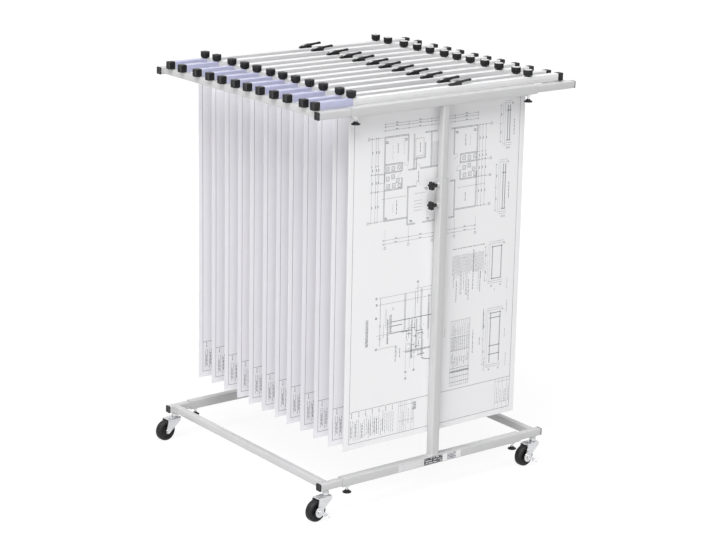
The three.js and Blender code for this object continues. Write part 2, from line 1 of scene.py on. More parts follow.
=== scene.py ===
"""Plan hanging rack: finished pieces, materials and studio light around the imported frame."""

from __future__ import annotations

import logging
import math
import random
from dataclasses import dataclass, field
from enum import Enum, IntEnum
from functools import cached_property, partialmethod
from typing import Callable, Optional, Sequence, Union

import bpy
from mathutils import Matrix, Vector

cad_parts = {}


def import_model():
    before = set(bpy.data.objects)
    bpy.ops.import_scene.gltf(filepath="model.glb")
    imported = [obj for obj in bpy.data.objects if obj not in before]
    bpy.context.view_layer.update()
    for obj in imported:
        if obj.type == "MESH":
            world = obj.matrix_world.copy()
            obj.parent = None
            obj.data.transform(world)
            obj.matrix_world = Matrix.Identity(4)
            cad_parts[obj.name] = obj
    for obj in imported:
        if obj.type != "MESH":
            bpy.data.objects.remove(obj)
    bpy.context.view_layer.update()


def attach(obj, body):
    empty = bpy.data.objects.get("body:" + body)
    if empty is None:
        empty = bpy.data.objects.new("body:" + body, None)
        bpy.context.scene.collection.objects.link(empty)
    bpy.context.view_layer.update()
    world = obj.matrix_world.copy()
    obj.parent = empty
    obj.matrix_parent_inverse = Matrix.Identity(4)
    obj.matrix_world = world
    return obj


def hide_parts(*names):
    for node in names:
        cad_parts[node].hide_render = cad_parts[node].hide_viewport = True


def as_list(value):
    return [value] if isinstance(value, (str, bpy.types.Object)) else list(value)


LOG = logging.getLogger("plan_rack")
MM = 0.001
STRAIGHT = 0.9  # a direction with a larger share along an axis counts as along it
NEAR = 0.1  # millimetres within which a corner counts as at a level
UP = (0, 0, 1)
BACKWARDS = (0, 1, 0)
LEFTWARDS = (-1, 0, 0)
Object = bpy.types.Object
Material = bpy.types.Material
Node = bpy.types.Node
Socket = bpy.types.NodeSocket
Point = Sequence[float]
Stroke = tuple
Test = Callable[[Vector, Vector], bool]


class Part(Enum):
    """Which elements of a mesh are picked, as Blender's select mode."""

    VERTEX = (True, False, False)
    EDGE = (False, True, False)
    FACE = (False, False, True)


class Axis(IntEnum):
    """The axes; an outline that is drawn out along one of them lies in the plane of the other two."""

    X = 0
    Y = 1
    Z = 2


class Place(Enum):
    """A place on the rack whose name is part of the names of nodes."""

    @property
    def word(self) -> str:
        """The name as the nodes spell it."""
        return self.name.lower()


class Side(Place):
    """The two long sides of the rack, with the sign of their Y."""

    FRONT = -1
    BACK = 1


class End(Place):
    """The two ends of the rack, with the sign of their X."""

    LEFT = -1
    RIGHT = 1


class Level(Place):
    """The two levels of the frame, with the body that their outer rails belong to."""

    BASE = "lower_frame"
    TOP = "upper_frame"


class Value:
    """A number socket of a shader that can be used in Python arithmetic."""

    def __init__(self, nodes: Nodes, socket: Socket) -> None:
        """Wraps an output of a node tree."""
        self.nodes = nodes
        self.socket = socket

    def _math(self, operation: str, other: object, swapped: bool = False) -> Value:
        """Adds one Math node on self and a Value or number.

        Args:
            operation: Blender's name of the operation.
            other: the Value or number.
            swapped: whether other comes first.

        Returns:
            The node's result.
        """
        pair = (other, self) if swapped else (self, other)
        node = self.nodes.node("Math", {"operation": operation}, dict(enumerate(pair)))
        return Value(self.nodes, node.outputs[0])

    __add__ = partialmethod(_math, "ADD")
    __radd__ = partialmethod(_math, "ADD", swapped=True)
    __sub__ = partialmethod(_math, "SUBTRACT")
    __rsub__ = partialmethod(_math, "SUBTRACT", swapped=True)
    __mul__ = partialmethod(_math, "MULTIPLY")
    __rmul__ = partialmethod(_math, "MULTIPLY", swapped=True)
    larger = partialmethod(_math, "MAXIMUM")
    over = partialmethod(_math, "GREATER_THAN")

    def ramp(self, low: float, high: float) -> Value:
        """Runs smoothly from 0 at low to 1 at high.

        Args:
            low: the value that gives 0.
            high: the value that gives 1.

        Returns:
            The ramped value.
        """
        inputs = {"Value": self, "From Min": low, "From Max": high}
        node = self.nodes.node("MapRange", {"interpolation_type": "SMOOTHSTEP"}, inputs)
        return Value(self.nodes, node.outputs["Result"])


class Nodes:
    """A node tree, emptied, that nodes are added to by one method."""

    def __init__(self, owner: Union[Material, bpy.types.World]) -> None:
        """Takes over a material's or a world's nodes.

        Args:
            owner: the material or world.
        """
        owner.use_nodes = True
        self.tree = owner.node_tree
        self.tree.nodes.clear()

    def node(self, kind: str, settings: Optional[dict] = None, inputs: Optional[dict] = None) -> Node:
        """Adds a node.

        Args:
            kind: the node's type, without the ShaderNode that it begins with.
            settings: attributes that are set first.
            inputs: a number, tuple, socket or Value for each named or numbered input.

        Returns:
            The node.
        """
        node = self.tree.nodes.new(f"ShaderNode{kind}")
        for key, value in (settings or {}).items():
            setattr(node, key, value)
        for key, value in (inputs or {}).items():
            self.feed(node.inputs[key], value)
        return node

    def feed(self, socket: Socket, value: object) -> None:
        """Links a socket or Value to an input, or sets the input to a plain number or colour.

        Args:
            socket: the input.
            value: what it gets.
        """
        source = value.socket if isinstance(value, Value) else value
        if isinstance(source, Socket):
            self.tree.links.new(source, socket)
        else:
            socket.default_value = source

    def shown(self) -> Value:
        """Tells the rays that show the background from those that only light the object.

        Returns:
            1 for a ray that is seen, mirrored or goes through glass, else 0.
        """
        rays = self.node("LightPath").outputs
        mirrored = Value(self, rays["Is Glossy Ray"]).larger(rays["Is Transmission Ray"])
        return mirrored.larger(rays["Is Camera Ray"])

    def choose(self, factor: Value, first: Node, second: Node, output: str) -> None:
        """Ends the tree with one of two shaders: the first at factor 0, the second at factor 1."""
        mix = self.node("MixShader", {}, {0: factor, 1: first.outputs[0], 2: second.outputs[0]})
        self.node(output, {}, {"Surface": mix.outputs[0]})


class Shader(Nodes):
    """A material's node tree, with one Principled shader that the finishes fill in."""

    def __init__(self, name: str) -> None:
        """Starts an empty material.

        Args:
            name: the material's name.
        """
        self.material: Material = bpy.data.materials.new(name)
        super().__init__(self.material)
        self.surface = self.node("BsdfPrincipled")
        self.node("OutputMaterial", {}, {"Surface": self.surface.outputs[0]})
        self.place = self.node("TexCoord").outputs["Object"]

    def set(self, **inputs: object) -> None:
        """Fills sockets of the Principled shader; an underscore stands for a space."""
        for key, value in inputs.items():
            self.feed(self.surface.inputs[key.replace("_", " ")], value)

    def stretched(self, scale: Point) -> Socket:
        """Object coordinates with each axis scaled."""
        return self.node("Mapping", {}, {"Vector": self.place, "Scale": tuple(scale)}).outputs[0]

    def axis(self, name: str) -> Value:
        """One object coordinate, X, Y or Z, in metres."""
        return Value(self, self.node("SeparateXYZ", {}, {0: self.place}).outputs[name])

    def noise(self, scale: float, detail: float = 2.0, vector: Optional[Socket] = None) -> Value:
        """Smooth noise from 0 to 1, by its features per metre, its finer layers and its coordinates."""
        inputs = {"Vector": vector or self.place, "Scale": scale, "Detail": detail}
        return Value(self, self.node("TexNoise", {}, inputs).outputs["Fac"])

    def cells(self, scale: float) -> Value:
        """Distance to the nearest of scattered points, as for a pebbled skin."""
        inputs = {"Vector": self.place, "Scale": scale}
        return Value(self, self.node("TexVoronoi", {}, inputs).outputs["Distance"])

    def blend(self, factor: Value, first: object, second: object) -> Socket:
        """A colour between two colours.

        Args:
            factor: 0 for the first colour, 1 for the second.
            first: linear RGB, or a colour socket.
            second: linear RGB, or a colour socket.

        Returns:
            The colour socket.
        """
        node = self.node("Mix", {"data_type": "RGBA"}, {"Factor": factor})
        for name, colour in (("A", first), ("B", second)):
            socket = next(s for s in node.inputs if s.name == name and s.type == "RGBA")
            self.feed(socket, colour if isinstance(colour, Socket) else (*colour, 1.0))
        return next(s for s in node.outputs if s.type == "RGBA")

    def vary(self, factor: Value, colour: Point, low: float, high: float) -> Socket:
        """A colour times low at factor 0 and times high at factor 1."""
        return self.blend(factor, shade(colour, low), shade(colour, high))

    def bump(self, height: Value, depth: float, strength: float) -> None:
        """Feeds a relief from 0 to 1, its depth given in metres, into the shader's normal."""
        inputs = {"Height": height, "Distance": depth, "Strength": strength}
        self.set(Normal=self.node("Bump", {}, inputs).outputs[0])


def shade(colour: Point, factor: float) -> tuple:
    """A colour made lighter or darker by a factor."""
    return tuple(channel * factor for channel in colour)


@dataclass(frozen=True)
class Finish:
    """A finish: the name of its material, the record's slot for it, which is not used, and its main colour in linear
    RGB.
    """

    name: str
    slot: str
    colour: tuple

    def fill(self, shader: Shader) -> None:
        """Fills in the shader; each finish does it in its own way."""
        raise NotImplementedError

    @cached_property
    def material(self) -> Material:
        """Makes the material, once.

        Returns:
            The finished material.
        """
        shader = Shader(self.name)
        self.fill(shader)
        return shader.material


@dataclass(frozen=True)
class PowderCoat(Finish):
    """Light grey powder coat on steel tube, with the fine orange peel of a baked finish."""

    name: str = "tube_powder_coat"
    slot: str = "tube_paint"
    colour: tuple = (0.545, 0.545, 0.547)
    roughness: float = 0.36
    peel_per_m: float = 420.0
    peel_depth: float = 0.00006

    def fill(self, shader: Shader) -> None:
        """Fills in the shader.

        Args:
            shader: the empty shader.
        """
        cloud = shader.noise(9.0, 3.0)
        handled = shader.noise(46.0, 4.0).ramp(0.56, 0.78)
        tone = shader.vary(cloud, self.colour, 0.965, 1.03)
        shader.set(
            Base_Color=shader.blend(handled * 0.10, tone, shade(self.colour, 0.86)),
            Roughness=self.roughness + 0.10 * (cloud - 0.5) + 0.06 * handled,
            Metallic=0.12,
            Coat_Weight=0.5,
            Coat_Roughness=0.16,
        )
        shader.bump(shader.noise(self.peel_per_m, 2.0), self.peel_depth, 0.55)


@dataclass(frozen=True)
class Anodised(Finish):
    """Satin anodised aluminium extrusion, with drawn lines along its length."""

    name: str = "hanger_anodised"
    slot: str = "bar_aluminium"
    colour: tuple = (0.755, 0.755, 0.759)
    roughness: float = 0.36
    metallic: float = 0.10
    lines_per_m: tuple = (3.0, 900.0, 900.0)

    def fill(self, shader: Shader) -> None:
        """Fills in the shader.

        Args:
            shader: the empty shader.
        """
        lines = shader.noise(1.0, 3.0, shader.stretched(self.lines_per_m))
        aged = shader.noise(14.0, 2.0).ramp(0.5, 0.9) * 0.25
        tone = shader.vary(lines, self.colour, 0.93, 1.06)
        shader.set(
            Base_Color=shader.blend(aged, tone, shade(self.colour, 0.9)),
            Metallic=self.metallic,
            Roughness=self.roughness + 0.14 * (lines - 0.5),
        )
        shader.bump(lines, 0.00004, 0.4)


@dataclass(frozen=True)
class Moulded(Finish):
    """Moulded black plastic with a fine pebbled skin and a faint bloom where it is handled."""

    name: str = "black_moulding"
    slot: str = "black_plastic"
    colour: tuple = (0.010, 0.010, 0.011)
    bloom: tuple = (0.03, 0.03, 0.032)
    roughness: float = 0.42
    sheen: float = 0.28
    pebble_per_m: float = 1500.0

    def fill(self, shader: Shader) -> None:
        """Fills in the shader.

        Args:
            shader: the empty shader.
        """
        rub = shader.noise(70.0, 4.0).ramp(0.45, 0.8)
        skin = shader.cells(self.pebble_per_m)
        shader.set(
            Base_Color=shader.blend(rub * 0.35, self.colour, self.bloom),
            Roughness=self.roughness + 0.12 * rub - 0.05 * skin,
            Specular_IOR_Level=self.sheen,
        )
        shader.bump(skin, 0.00008, 0.35)


@dataclass(frozen=True)
class ZincPlate(Finish):
    """Bright zinc plate on pressed steel, a little mottled."""

    name: str = "zinc_plate"
    slot: str = "zinc_plate"
    colour: tuple = (0.71, 0.715, 0.73)
    roughness: float = 0.27

    def fill(self, shader: Shader) -> None:
        """Fills in the shader.

        Args:
            shader: the empty shader.
        """
        mottle = shader.noise(120.0, 4.0)
        dull = shader.noise(34.0, 3.0).ramp(0.5, 0.8)
        shader.set(
            Base_Color=shader.vary(mottle, self.colour, 0.82, 1.1),
            Metallic=0.92,
            Roughness=self.roughness + 0.16 * dull + 0.08 * (mottle - 0.5),
        )
        shader.bump(mottle, 0.00003, 0.4)


@dataclass(frozen=True)
class Tyre(Finish):
    """Black tread with patches of dust."""

    name: str = "wheel_tread"
    slot: str = "tyre"
    colour: tuple = (0.008, 0.008, 0.009)
    dust: tuple = (0.055, 0.053, 0.05)

    def fill(self, shader: Shader) -> None:
        """Fills in the shader.

        Args:
            shader: the empty shader.
        """
        grain = shader.noise(900.0, 3.0)
        patch = shader.noise(60.0, 4.0).ramp(0.48, 0.75)
        shader.set(
            Base_Color=shader.blend(patch * 0.4, self.colour, self.dust),
            Roughness=0.5 + 0.18 * patch + 0.1 * (grain - 0.5),
            Specular_IOR_Level=0.3,
        )
        shader.bump(grain, 0.00006, 0.4)


@dataclass(frozen=True)
class Bond(Finish):
    """White bond paper with a fibre texture and soft patches of a cooler, darker tone: painted shade of its
    cockling.
    """

    name: str = "bond_paper"
    slot: str = "plan_paper"
    colour: tuple = (0.885, 0.877, 0.908)
    shadow: tuple = (0.862, 0.853, 0.90)
    fibre_per_m: float = 900.0

    def fill(self, shader: Shader) -> None:
        """Fills in the shader.

        Args:
            shader: the empty shader.
        """
        fibre = shader.noise(self.fibre_per_m, 4.0)
        # soft patches blend towards the shadow colour: painted shade where the paper cockles
        cockle_shade = shader.noise(7.0, 2.0).ramp(0.35, 0.8) * 0.3
        tone = shader.vary(fibre, self.colour, 0.975, 1.015)
        shader.set(Base_Color=shader.blend(cockle_shade, tone, self.shadow), Roughness=0.84 + 0.1 * (fibre - 0.5))
        shader.bump(fibre, 0.00003, 0.35)


@dataclass(frozen=True)
class Ink(Finish):
    """Plotter ink: dark grey, thinner in places as a worn pen leaves it."""

    name: str = "plotter_ink"
    slot: str = "plan_paper"
    colour: tuple = (0.055, 0.055, 0.07)
    thin: tuple = (0.14, 0.14, 0.165)

    def fill(self, shader: Shader) -> None:
        """Fills in the shader.

        Args:
            shader: the empty shader.
        """
        flow = shader.noise(240.0, 2.0)
        shader.set(
            Base_Color=shader.blend(flow.ramp(0.35, 0.75), self.colour, self.thin),
            Roughness=0.62 + 0.2 * (flow - 0.5),
        )


@dataclass(frozen=True)
class TintedStrip(Finish):
    """Lavender plastic of the index strips, satin and slightly cloudy."""

    name: str = "index_strip_plastic"
    slot: str = "black_plastic"
    colour: tuple = (0.455, 0.465, 0.63)

    def fill(self, shader: Shader) -> None:
        """Fills in the shader.

        Args:
            shader: the empty shader.
        """
        cloud = shader.noise(40.0, 3.0)
        shader.set(
            Base_Color=shader.vary(cloud, self.colour, 0.95, 1.05),
            Roughness=0.3 + 0.12 * (cloud - 0.5),
            Coat_Weight=0.3,
            Coat_Roughness=0.12,
        )
        shader.bump(shader.noise(700.0, 2.0), 0.00003, 0.3)


@dataclass(frozen=True)
class PaleInsert(Finish):
    """Pale grey plastic of the small covers on the clamping knobs, slightly cloudy and speckled."""

    name: str = "knob_cover"
    slot: str = "black_plastic"
    colour: tuple = (0.70, 0.70, 0.71)

    def fill(self, shader: Shader) -> None:
        """Fills in the shader.

        Args:
            shader: the empty shader.
        """
        speck = shader.noise(600.0, 3.0)
        shader.set(
            Base_Color=shader.vary(shader.noise(90.0, 3.0), self.colour, 0.9, 1.08),
            Roughness=0.34 + 0.14 * (speck - 0.5),
            Metallic=0.2,
        )
        shader.bump(speck, 0.00004, 0.35)


@dataclass(frozen=True)
class Sticker(Finish):
    """Sticker on the base rail: a clear field, a dark one with rows of dashes, and a pale one with a block."""

    name: str = "blank_sticker"
    slot: str = "plan_paper"
    colour: tuple = (0.80, 0.80, 0.81)
    dark: tuple = (0.022, 0.022, 0.025)
    mid: tuple = (0.42, 0.42, 0.44)
    clear: tuple = (0.70, 0.70, 0.705)
    scuffed: tuple = (0.36, 0.36, 0.37)
    dash_per_m: tuple = (210.0, 1.0, 420.0)
    row_height: float = 0.0064
    dark_x: float = -0.040
    pale_x: float = 0.027
    block_x: tuple = (0.044, 0.076)

    def fill(self, shader: Shader) -> None:
        """Fills in the shader.

        Args:
            shader: the empty shader.
        """
        place = shader.axis("X")
        scuff = shader.noise(180.0, 4.0).ramp(0.55, 0.8)
        marks = shader.noise(1.0, 1.0, shader.stretched(self.dash_per_m))
        block = shader.vary(marks.ramp(0.4, 0.6), self.mid, 0.55, 1.5)
        start, end = self.block_x
        pale = shader.blend(place.over(start) - place.over(end), self.colour, block)
        bands = {"wave_type": "BANDS", "bands_direction": "Z"}
        spacing = {"Vector": shader.place, "Scale": math.pi / 10.0 / self.row_height}
        rows = Value(shader, shader.node("TexWave", bands, spacing).outputs["Fac"]).ramp(0.3, 0.6)
        dashes = marks.ramp(0.46, 0.54) * rows
        written = shader.blend(dashes, self.dark, shade(self.colour, 0.8))
        faint = shader.blend(dashes * 0.25, self.clear, self.mid)
        left = shader.blend(place.over(self.dark_x), faint, written)
        base = shader.blend(place.over(self.pale_x), left, pale)
        shader.set(Base_Color=shader.blend(scuff * 0.22, base, self.scuffed), Roughness=0.42 + 0.2 * scuff)
        shader.bump(scuff, 0.00003, 0.3)


@dataclass(frozen=True)
class Finishes:
    """Every finish of the rack."""

    coat: Finish = PowderCoat()
    bar: Finish = Anodised()
    black: Finish = Moulded()
    lever: Finish = Moulded(
        name="lever_moulding", colour=(0.012, 0.012, 0.013), bloom=(0.05, 0.05, 0.053), roughness=0.26, sheen=0.4
    )
    zinc: Finish = ZincPlate()
    tyre: Finish = Tyre()
    paper: Finish = Bond()
    # The front sheet's paper is a darker copy of the bond paper, a little less blue: the darkening is painted shade
    # against the stronger light on the front sheet than on the rear sheets in the gaps.
    front_paper: Finish = Bond(
        name="front_bond_paper", colour=(0.858, 0.856, 0.865), shadow=(0.835, 0.833, 0.845)
    )
    ink: Finish = Ink()
    strip: Finish = TintedStrip()
    cover: Finish = PaleInsert()
    sticker: Finish = Sticker()


class Bench:
    """Modelling by operator, one mesh at a time. Sizes and places are in millimetres."""

    @staticmethod
    def clear() -> None:
        """Leaves edit mode and deselects everything."""
        if bpy.context.mode != "OBJECT":
            bpy.ops.object.mode_set(mode="OBJECT")
        bpy.ops.object.select_all(action="DESELECT")

    @staticmethod
    def activate(*pieces: Object) -> None:
        """Selects only these pieces and makes the first one active.

        Args:
            pieces: the pieces.
        """
        Bench.clear()
        for piece in pieces:
            piece.select_set(True)
        bpy.context.view_layer.objects.active = pieces[0]

    @staticmethod
    def settle() -> Object:
        """Moves the active object's place into its mesh and gives the object."""
        bpy.ops.object.transform_apply(location=True, rotation=True, scale=True)
        return bpy.context.object

    @staticmethod
    def block(low: Point, high: Point) -> Object:
        """A box between two corners.

        Args:
            low: its lowest corner.
            high: its highest corner.

        Returns:
            The box.
        """
        Bench.clear()
        start, end = Vector(low) * MM, Vector(high) * MM
        bpy.ops.mesh.primitive_cube_add(size=1.0, location=(start + end) / 2)
        bpy.context.object.scale = end - start
        return Bench.settle()

    @staticmethod
    def rod(radius: float, start: Point, end: Point, sides: int = 24) -> Object:
        """A round bar between two points.

        Args:
            radius: its radius.
            start: the centre of one end.
            end: the centre of the other end.
            sides: how many facets it has.

        Returns:
            The bar.
        """
        Bench.clear()
        first, last = Vector(start) * MM, Vector(end) * MM
        way = last - first
        turn = way.to_track_quat("Z", "Y").to_euler()
        bpy.ops.mesh.primitive_cylinder_add(
            vertices=sides, radius=radius * MM, depth=way.length, location=(first + last) / 2, rotation=turn
        )
        return Bench.settle()

    @staticmethod
    def ring(places: Sequence[Vector], fill: str) -> Object:
        """A closed ring of vertices, all of it open for editing.

        Args:
            places: where its vertices go.
            fill: Blender's name of the way that it is filled.

        Returns:
            The ring.
        """
        Bench.clear()
        bpy.ops.mesh.primitive_circle_add(vertices=len(places), radius=MM, fill_type=fill)
        piece = bpy.context.object
        for vertex, place in zip(piece.data.vertices, places):
            vertex.co = place * MM
        piece.data.update()
        bpy.ops.object.mode_set(mode="EDIT")
        bpy.ops.mesh.select_all(action="SELECT")
        return piece

    @staticmethod
    def plate(points: Sequence[Point], axis: Axis, start: float, end: float) -> Object:
        """An outline drawn out along an axis into a plate or bar.

        Args:
            points: the outline's corners, along the other two axes.
            axis: the axis.
            start: where it begins.
            end: where it ends.

        Returns:
            The closed solid.
        """
        piece = Bench.ring([Vector((*point[:axis], start, *point[axis:])) for point in points], "NGON")
        move = [0.0, 0.0, 0.0]
        move[axis] = (end - start) * MM
        bpy.ops.mesh.extrude_region_move(TRANSFORM_OT_translate={"value": move})
        Bench.mend()
        return piece

    @staticmethod
    def turned(profile: Sequence[Point], centre: Point, axis: Point, steps: int, angle: float = 40.0) -> Object:
        """A closed profile of (radius, height) spun about an axis.

        Args:
            profile: the corners of the profile, in order round it.
            centre: a point of the axis, where height is 0.
            axis: the axis's direction.
            steps: how many facets the turn has.
            angle: how sharp an edge stays sharp, in degrees.

        Returns:
            The closed solid, shaded smooth.
        """
        way, middle = Vector(axis).normalized(), Vector(centre)
        across = way.orthogonal().normalized()
        piece = Bench.ring([middle + across * radius + way * height for radius, height in profile], "NOTHING")
        bpy.ops.mesh.spin(steps=steps, angle=math.tau, center=middle * MM, axis=way)
        Bench.mend()
        return Bench.smooth(piece, angle)

    @staticmethod
    def mend() -> None:
        """Merges doubled corners, turns all faces outwards and leaves edit mode."""
        bpy.ops.mesh.select_all(action="SELECT")
        bpy.ops.mesh.remove_doubles(threshold=1e-7)
        bpy.ops.mesh.dissolve_degenerate(threshold=1e-8)
        bpy.ops.mesh.normals_make_consistent(inside=False)
        bpy.ops.object.mode_set(mode="OBJECT")

    @staticmethod
    def shape(piece: Object, part: Part, test: Test, operator: Callable, **settings: object) -> None:
        """Runs an edit operator on what passes a test.

        Args:
            piece: the mesh.
            part: whether vertices, edges or faces are tested.
            test: takes an element's place in millimetres and its direction or normal.
            operator: the operator.
            settings: the operator's arguments.
        """
        Bench.activate(piece)
        mesh = piece.data
        bpy.context.tool_settings.mesh_select_mode = part.value
        for elements in (mesh.vertices, mesh.edges, mesh.polygons):
            elements.foreach_set("select", [False] * len(elements))
        if part is Part.FACE:
            for face in mesh.polygons:
                face.select = test(face.center / MM, face.normal)
        elif part is Part.EDGE:
            for edge in mesh.edges:
                first, last = (mesh.vertices[i].co for i in edge.vertices)
                edge.select = test((first + last) / 2 / MM, (last - first).normalized())
        else:
            for vertex in mesh.vertices:
                vertex.select = test(vertex.co / MM, vertex.normal)
        bpy.ops.object.mode_set(mode="EDIT")
        operator(**settings)
        bpy.ops.object.mode_set(mode="OBJECT")

    @staticmethod
    def bevel(piece: Object, test: Test, width: float, segments: int) -> None:
        """Rounds the edges that pass a test."""
        offset = width * MM
        Bench.shape(piece, Part.EDGE, test, bpy.ops.mesh.bevel, offset=offset, segments=segments, affect="EDGES")

    @staticmethod
    def inset(piece: Object, test: Test, margin: float, depth: float) -> None:
        """Insets the faces that pass a test and sinks them (or raises them, if depth is positive)."""
        Bench.shape(piece, Part.FACE, test, bpy.ops.mesh.inset, thickness=margin * MM, depth=depth * MM)

    @staticmethod
    def remove(piece: Object, test: Test) -> None:
        """Deletes the faces that pass a test."""
        Bench.shape(piece, Part.FACE, test, bpy.ops.mesh.delete, type="FACE")

    @staticmethod
    def scale(piece: Object, test: Test, factors: Point, centre: Point) -> None:
        """Scales the vertices that pass a test about a centre."""
        middle = Vector(centre) * MM
        Bench.shape(piece, Part.VERTEX, test, bpy.ops.transform.resize, value=factors, center_override=middle)

    @staticmethod
    def modify(piece: Object, kind: str, **settings: object) -> None:
        """Adds a modifier and applies it.

        Args:
            piece: the mesh.
            kind: Blender's type of the modifier.
            settings: its attributes.
        """
        Bench.activate(piece)
        modifier = piece.modifiers.new(kind.lower(), kind)
        for key, value in settings.items():
            setattr(modifier, key, value)
        bpy.ops.object.modifier_apply(modifier=modifier.name)

    @staticmethod
    def soften(piece: Object, width: float, segments: int = 2, angle: float = 40.0) -> Object:
        """Rounds every edge that is sharper than an angle, and shades the piece smooth.

        Args:
            piece: the mesh.
            width: the width of the rounding.
            segments: how many facets the rounding has.
            angle: the angle in degrees.

        Returns:
            The piece.
        """
        limit = {"limit_method": "ANGLE", "angle_limit": math.radians(angle)}
        Bench.modify(piece, "BEVEL", width=width * MM, segments=segments, **limit)
        return Bench.smooth(piece)

    @staticmethod
    def smooth(piece: Object, angle: float = 35.0) -> Object:
        """Shades a piece smooth, apart from edges sharper than an angle.

        Args:
            piece: the mesh.
            angle: the angle in degrees.

        Returns:
            The piece.
        """
        Bench.activate(piece)
        bpy.ops.object.shade_smooth_by_angle(angle=math.radians(angle))
        return piece

    @staticmethod
    def carve(piece: Object, tool: Object, operation: str = "DIFFERENCE") -> None:
        """Cuts a piece with a tool, which is used up, or keeps what both share."""
        Bench.modify(piece, "BOOLEAN", operation=operation, solver="EXACT", object=tool)
        Bench.discard(tool)

    @staticmethod
    def join(*pieces: Object) -> Object:
        """Makes one mesh of several.

        Args:
            pieces: what is joined.

        Returns:
            The joined piece.
        """
        Bench.activate(*pieces)
        bpy.ops.object.join()
        return pieces[0]

    @staticmethod
    def copy(source: Object, move: Matrix) -> Object:
        """A copy with its own mesh, moved.

        Args:
            source: what is copied.
            move: where its mesh goes, in metres.

        Returns:
            The copy.
        """
        piece = source.copy()
        piece.data = source.data.copy()
        piece.data.transform(move)
        bpy.context.collection.objects.link(piece)
        return piece

    @staticmethod
    def discard(*pieces: Object) -> None:
        """Removes tools and patterns that are used up."""
        for piece in pieces:
            bpy.data.objects.remove(piece, do_unlink=True)


def along(axis: Axis) -> Test:
    """A test for edges that run along an axis, or faces that look along it either way."""
    return lambda place, way: abs(way[axis]) > STRAIGHT


def facing(axis: Axis, sign: int) -> Test:
    """A test for faces that look along an axis, towards its plus end if sign is 1."""
    return lambda place, way: way[axis] * sign > STRAIGHT


def at_level(z: float) -> Test:
    """A test for corners at a level."""
    return lambda place, way: abs(place.z - z) < NEAR


def shift(x: float = 0.0, y: float = 0.0, z: float = 0.0) -> Matrix:
    """A move in millimetres as a matrix."""
    return Matrix.Translation(Vector((x, y, z)) * MM)


def arc(centre: Point, radius: float, start: float, end: float, steps: int) -> list:
    """Points along an arc, both ends included, from a start to an end in degrees."""
    angles = [math.radians(start + (end - start) * i / steps) for i in range(steps + 1)]
    return [(centre[0] + radius * math.cos(a), centre[1] + radius * math.sin(a)) for a in angles]


def bowed(start: Point, control: Point, end: Point, steps: int) -> list:
    """Points along a quadratic curve.

    Args:
        start: where it starts.
        control: the point that pulls it.
        end: where it ends.
        steps: how many spans it is divided into.

    Returns:
        The points, without the first one.
    """
    points = []
    for i in range(1, steps + 1):
        t = i / steps
        weights = ((1 - t) ** 2, 2 * t * (1 - t), t * t)
        points.append(tuple(sum(w * p[k] for w, p in zip(weights, (start, control, end))) for k in (0, 1)))
    return points


def lobed(radius: float, hollow: float, lobes: int, steps: int, centre: Point = (0.0, 0.0)) -> list:
    """Points of a round outline with lobes, such as a hand knob has.

    Args:
        radius: the distance of a lobe's crest from the centre.
        hollow: how deep the notches between lobes are.
        lobes: how many lobes there are.
        steps: how many points each lobe has.
        centre: the middle of the outline.

    Returns:
        The points, in order.
    """
    points = []
    for i in range(lobes * steps):
        angle = math.tau * i / (lobes * steps)
        r = radius - hollow * (1 - abs(math.cos(lobes * angle / 2)))
        points.append((centre[0] + r * math.cos(angle), centre[1] + r * math.sin(angle)))
    return points


def mirrored(points: Sequence[Point], first: int, second: int) -> list:
    """An outline's half and its mirror image, whose coordinates are times first and second, run on in order."""
    return [*points, *((first * a, second * b) for a, b in reversed(points))]


def hand_over(piece: Object, name: str, finish: Finish, body: str, *nodes: str) -> Object:
    """Names and dresses a finished piece, hangs it on the body that it rides on and hides the CAD nodes that it
    stands for.

    Args:
        piece: the finished mesh.
        name: its name.
        finish: its finish.
        body: the CAD body that it moves with.
        nodes: the CAD nodes that it stands for.

    Returns:
        The piece.
    """
    piece.name = name
    piece.data.name = name
    piece.data.materials.clear()
    piece.data.materials.append(finish.material)
    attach(piece, body)
    if nodes:
        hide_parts(*nodes)
    LOG.info("%s rides on %s", name, body)
    return piece


@dataclass(frozen=True)
class Layout:
    """Places that the sub-assemblies share, as the CAD source has them, in millimetres."""

    rail_y: float = 375.0
    rail_end: float = 320.0
    inner: float = 20.0
    outer: float = 25.0
    base_z: float = 92.0391
    post_foot: float = 104.5391
    post_top: float = 895.5391
    top_z: float = 1106.5391
    hanger_foot: float = 1116.8391
    hanger_top: float = 1137.8391
    stations: tuple = (0, 0.07, 0.172, 0.258, 0.348, 0.432, 0.513, 0.605, 0.689, 0.778, 0.886, 0.97)
    front_seat: float = -351.5

    def hanger_y(self, index: int) -> float:
        """The Y of a hanger, counted from 0 at the front."""
        return self.front_seat * (1 - 2 * self.stations[index])

    def rail_z(self, level: Level) -> float:
        """The middle of the tubes at a level."""
        return self.base_z if level is Level.BASE else self.top_z


@dataclass
class Assembly:
    """A sub-assembly, built about the shared layout in the shared finishes."""

    layout: Layout
    finishes: Finishes

    def build(self) -> None:
        """Builds every piece of it."""
        raise NotImplementedError


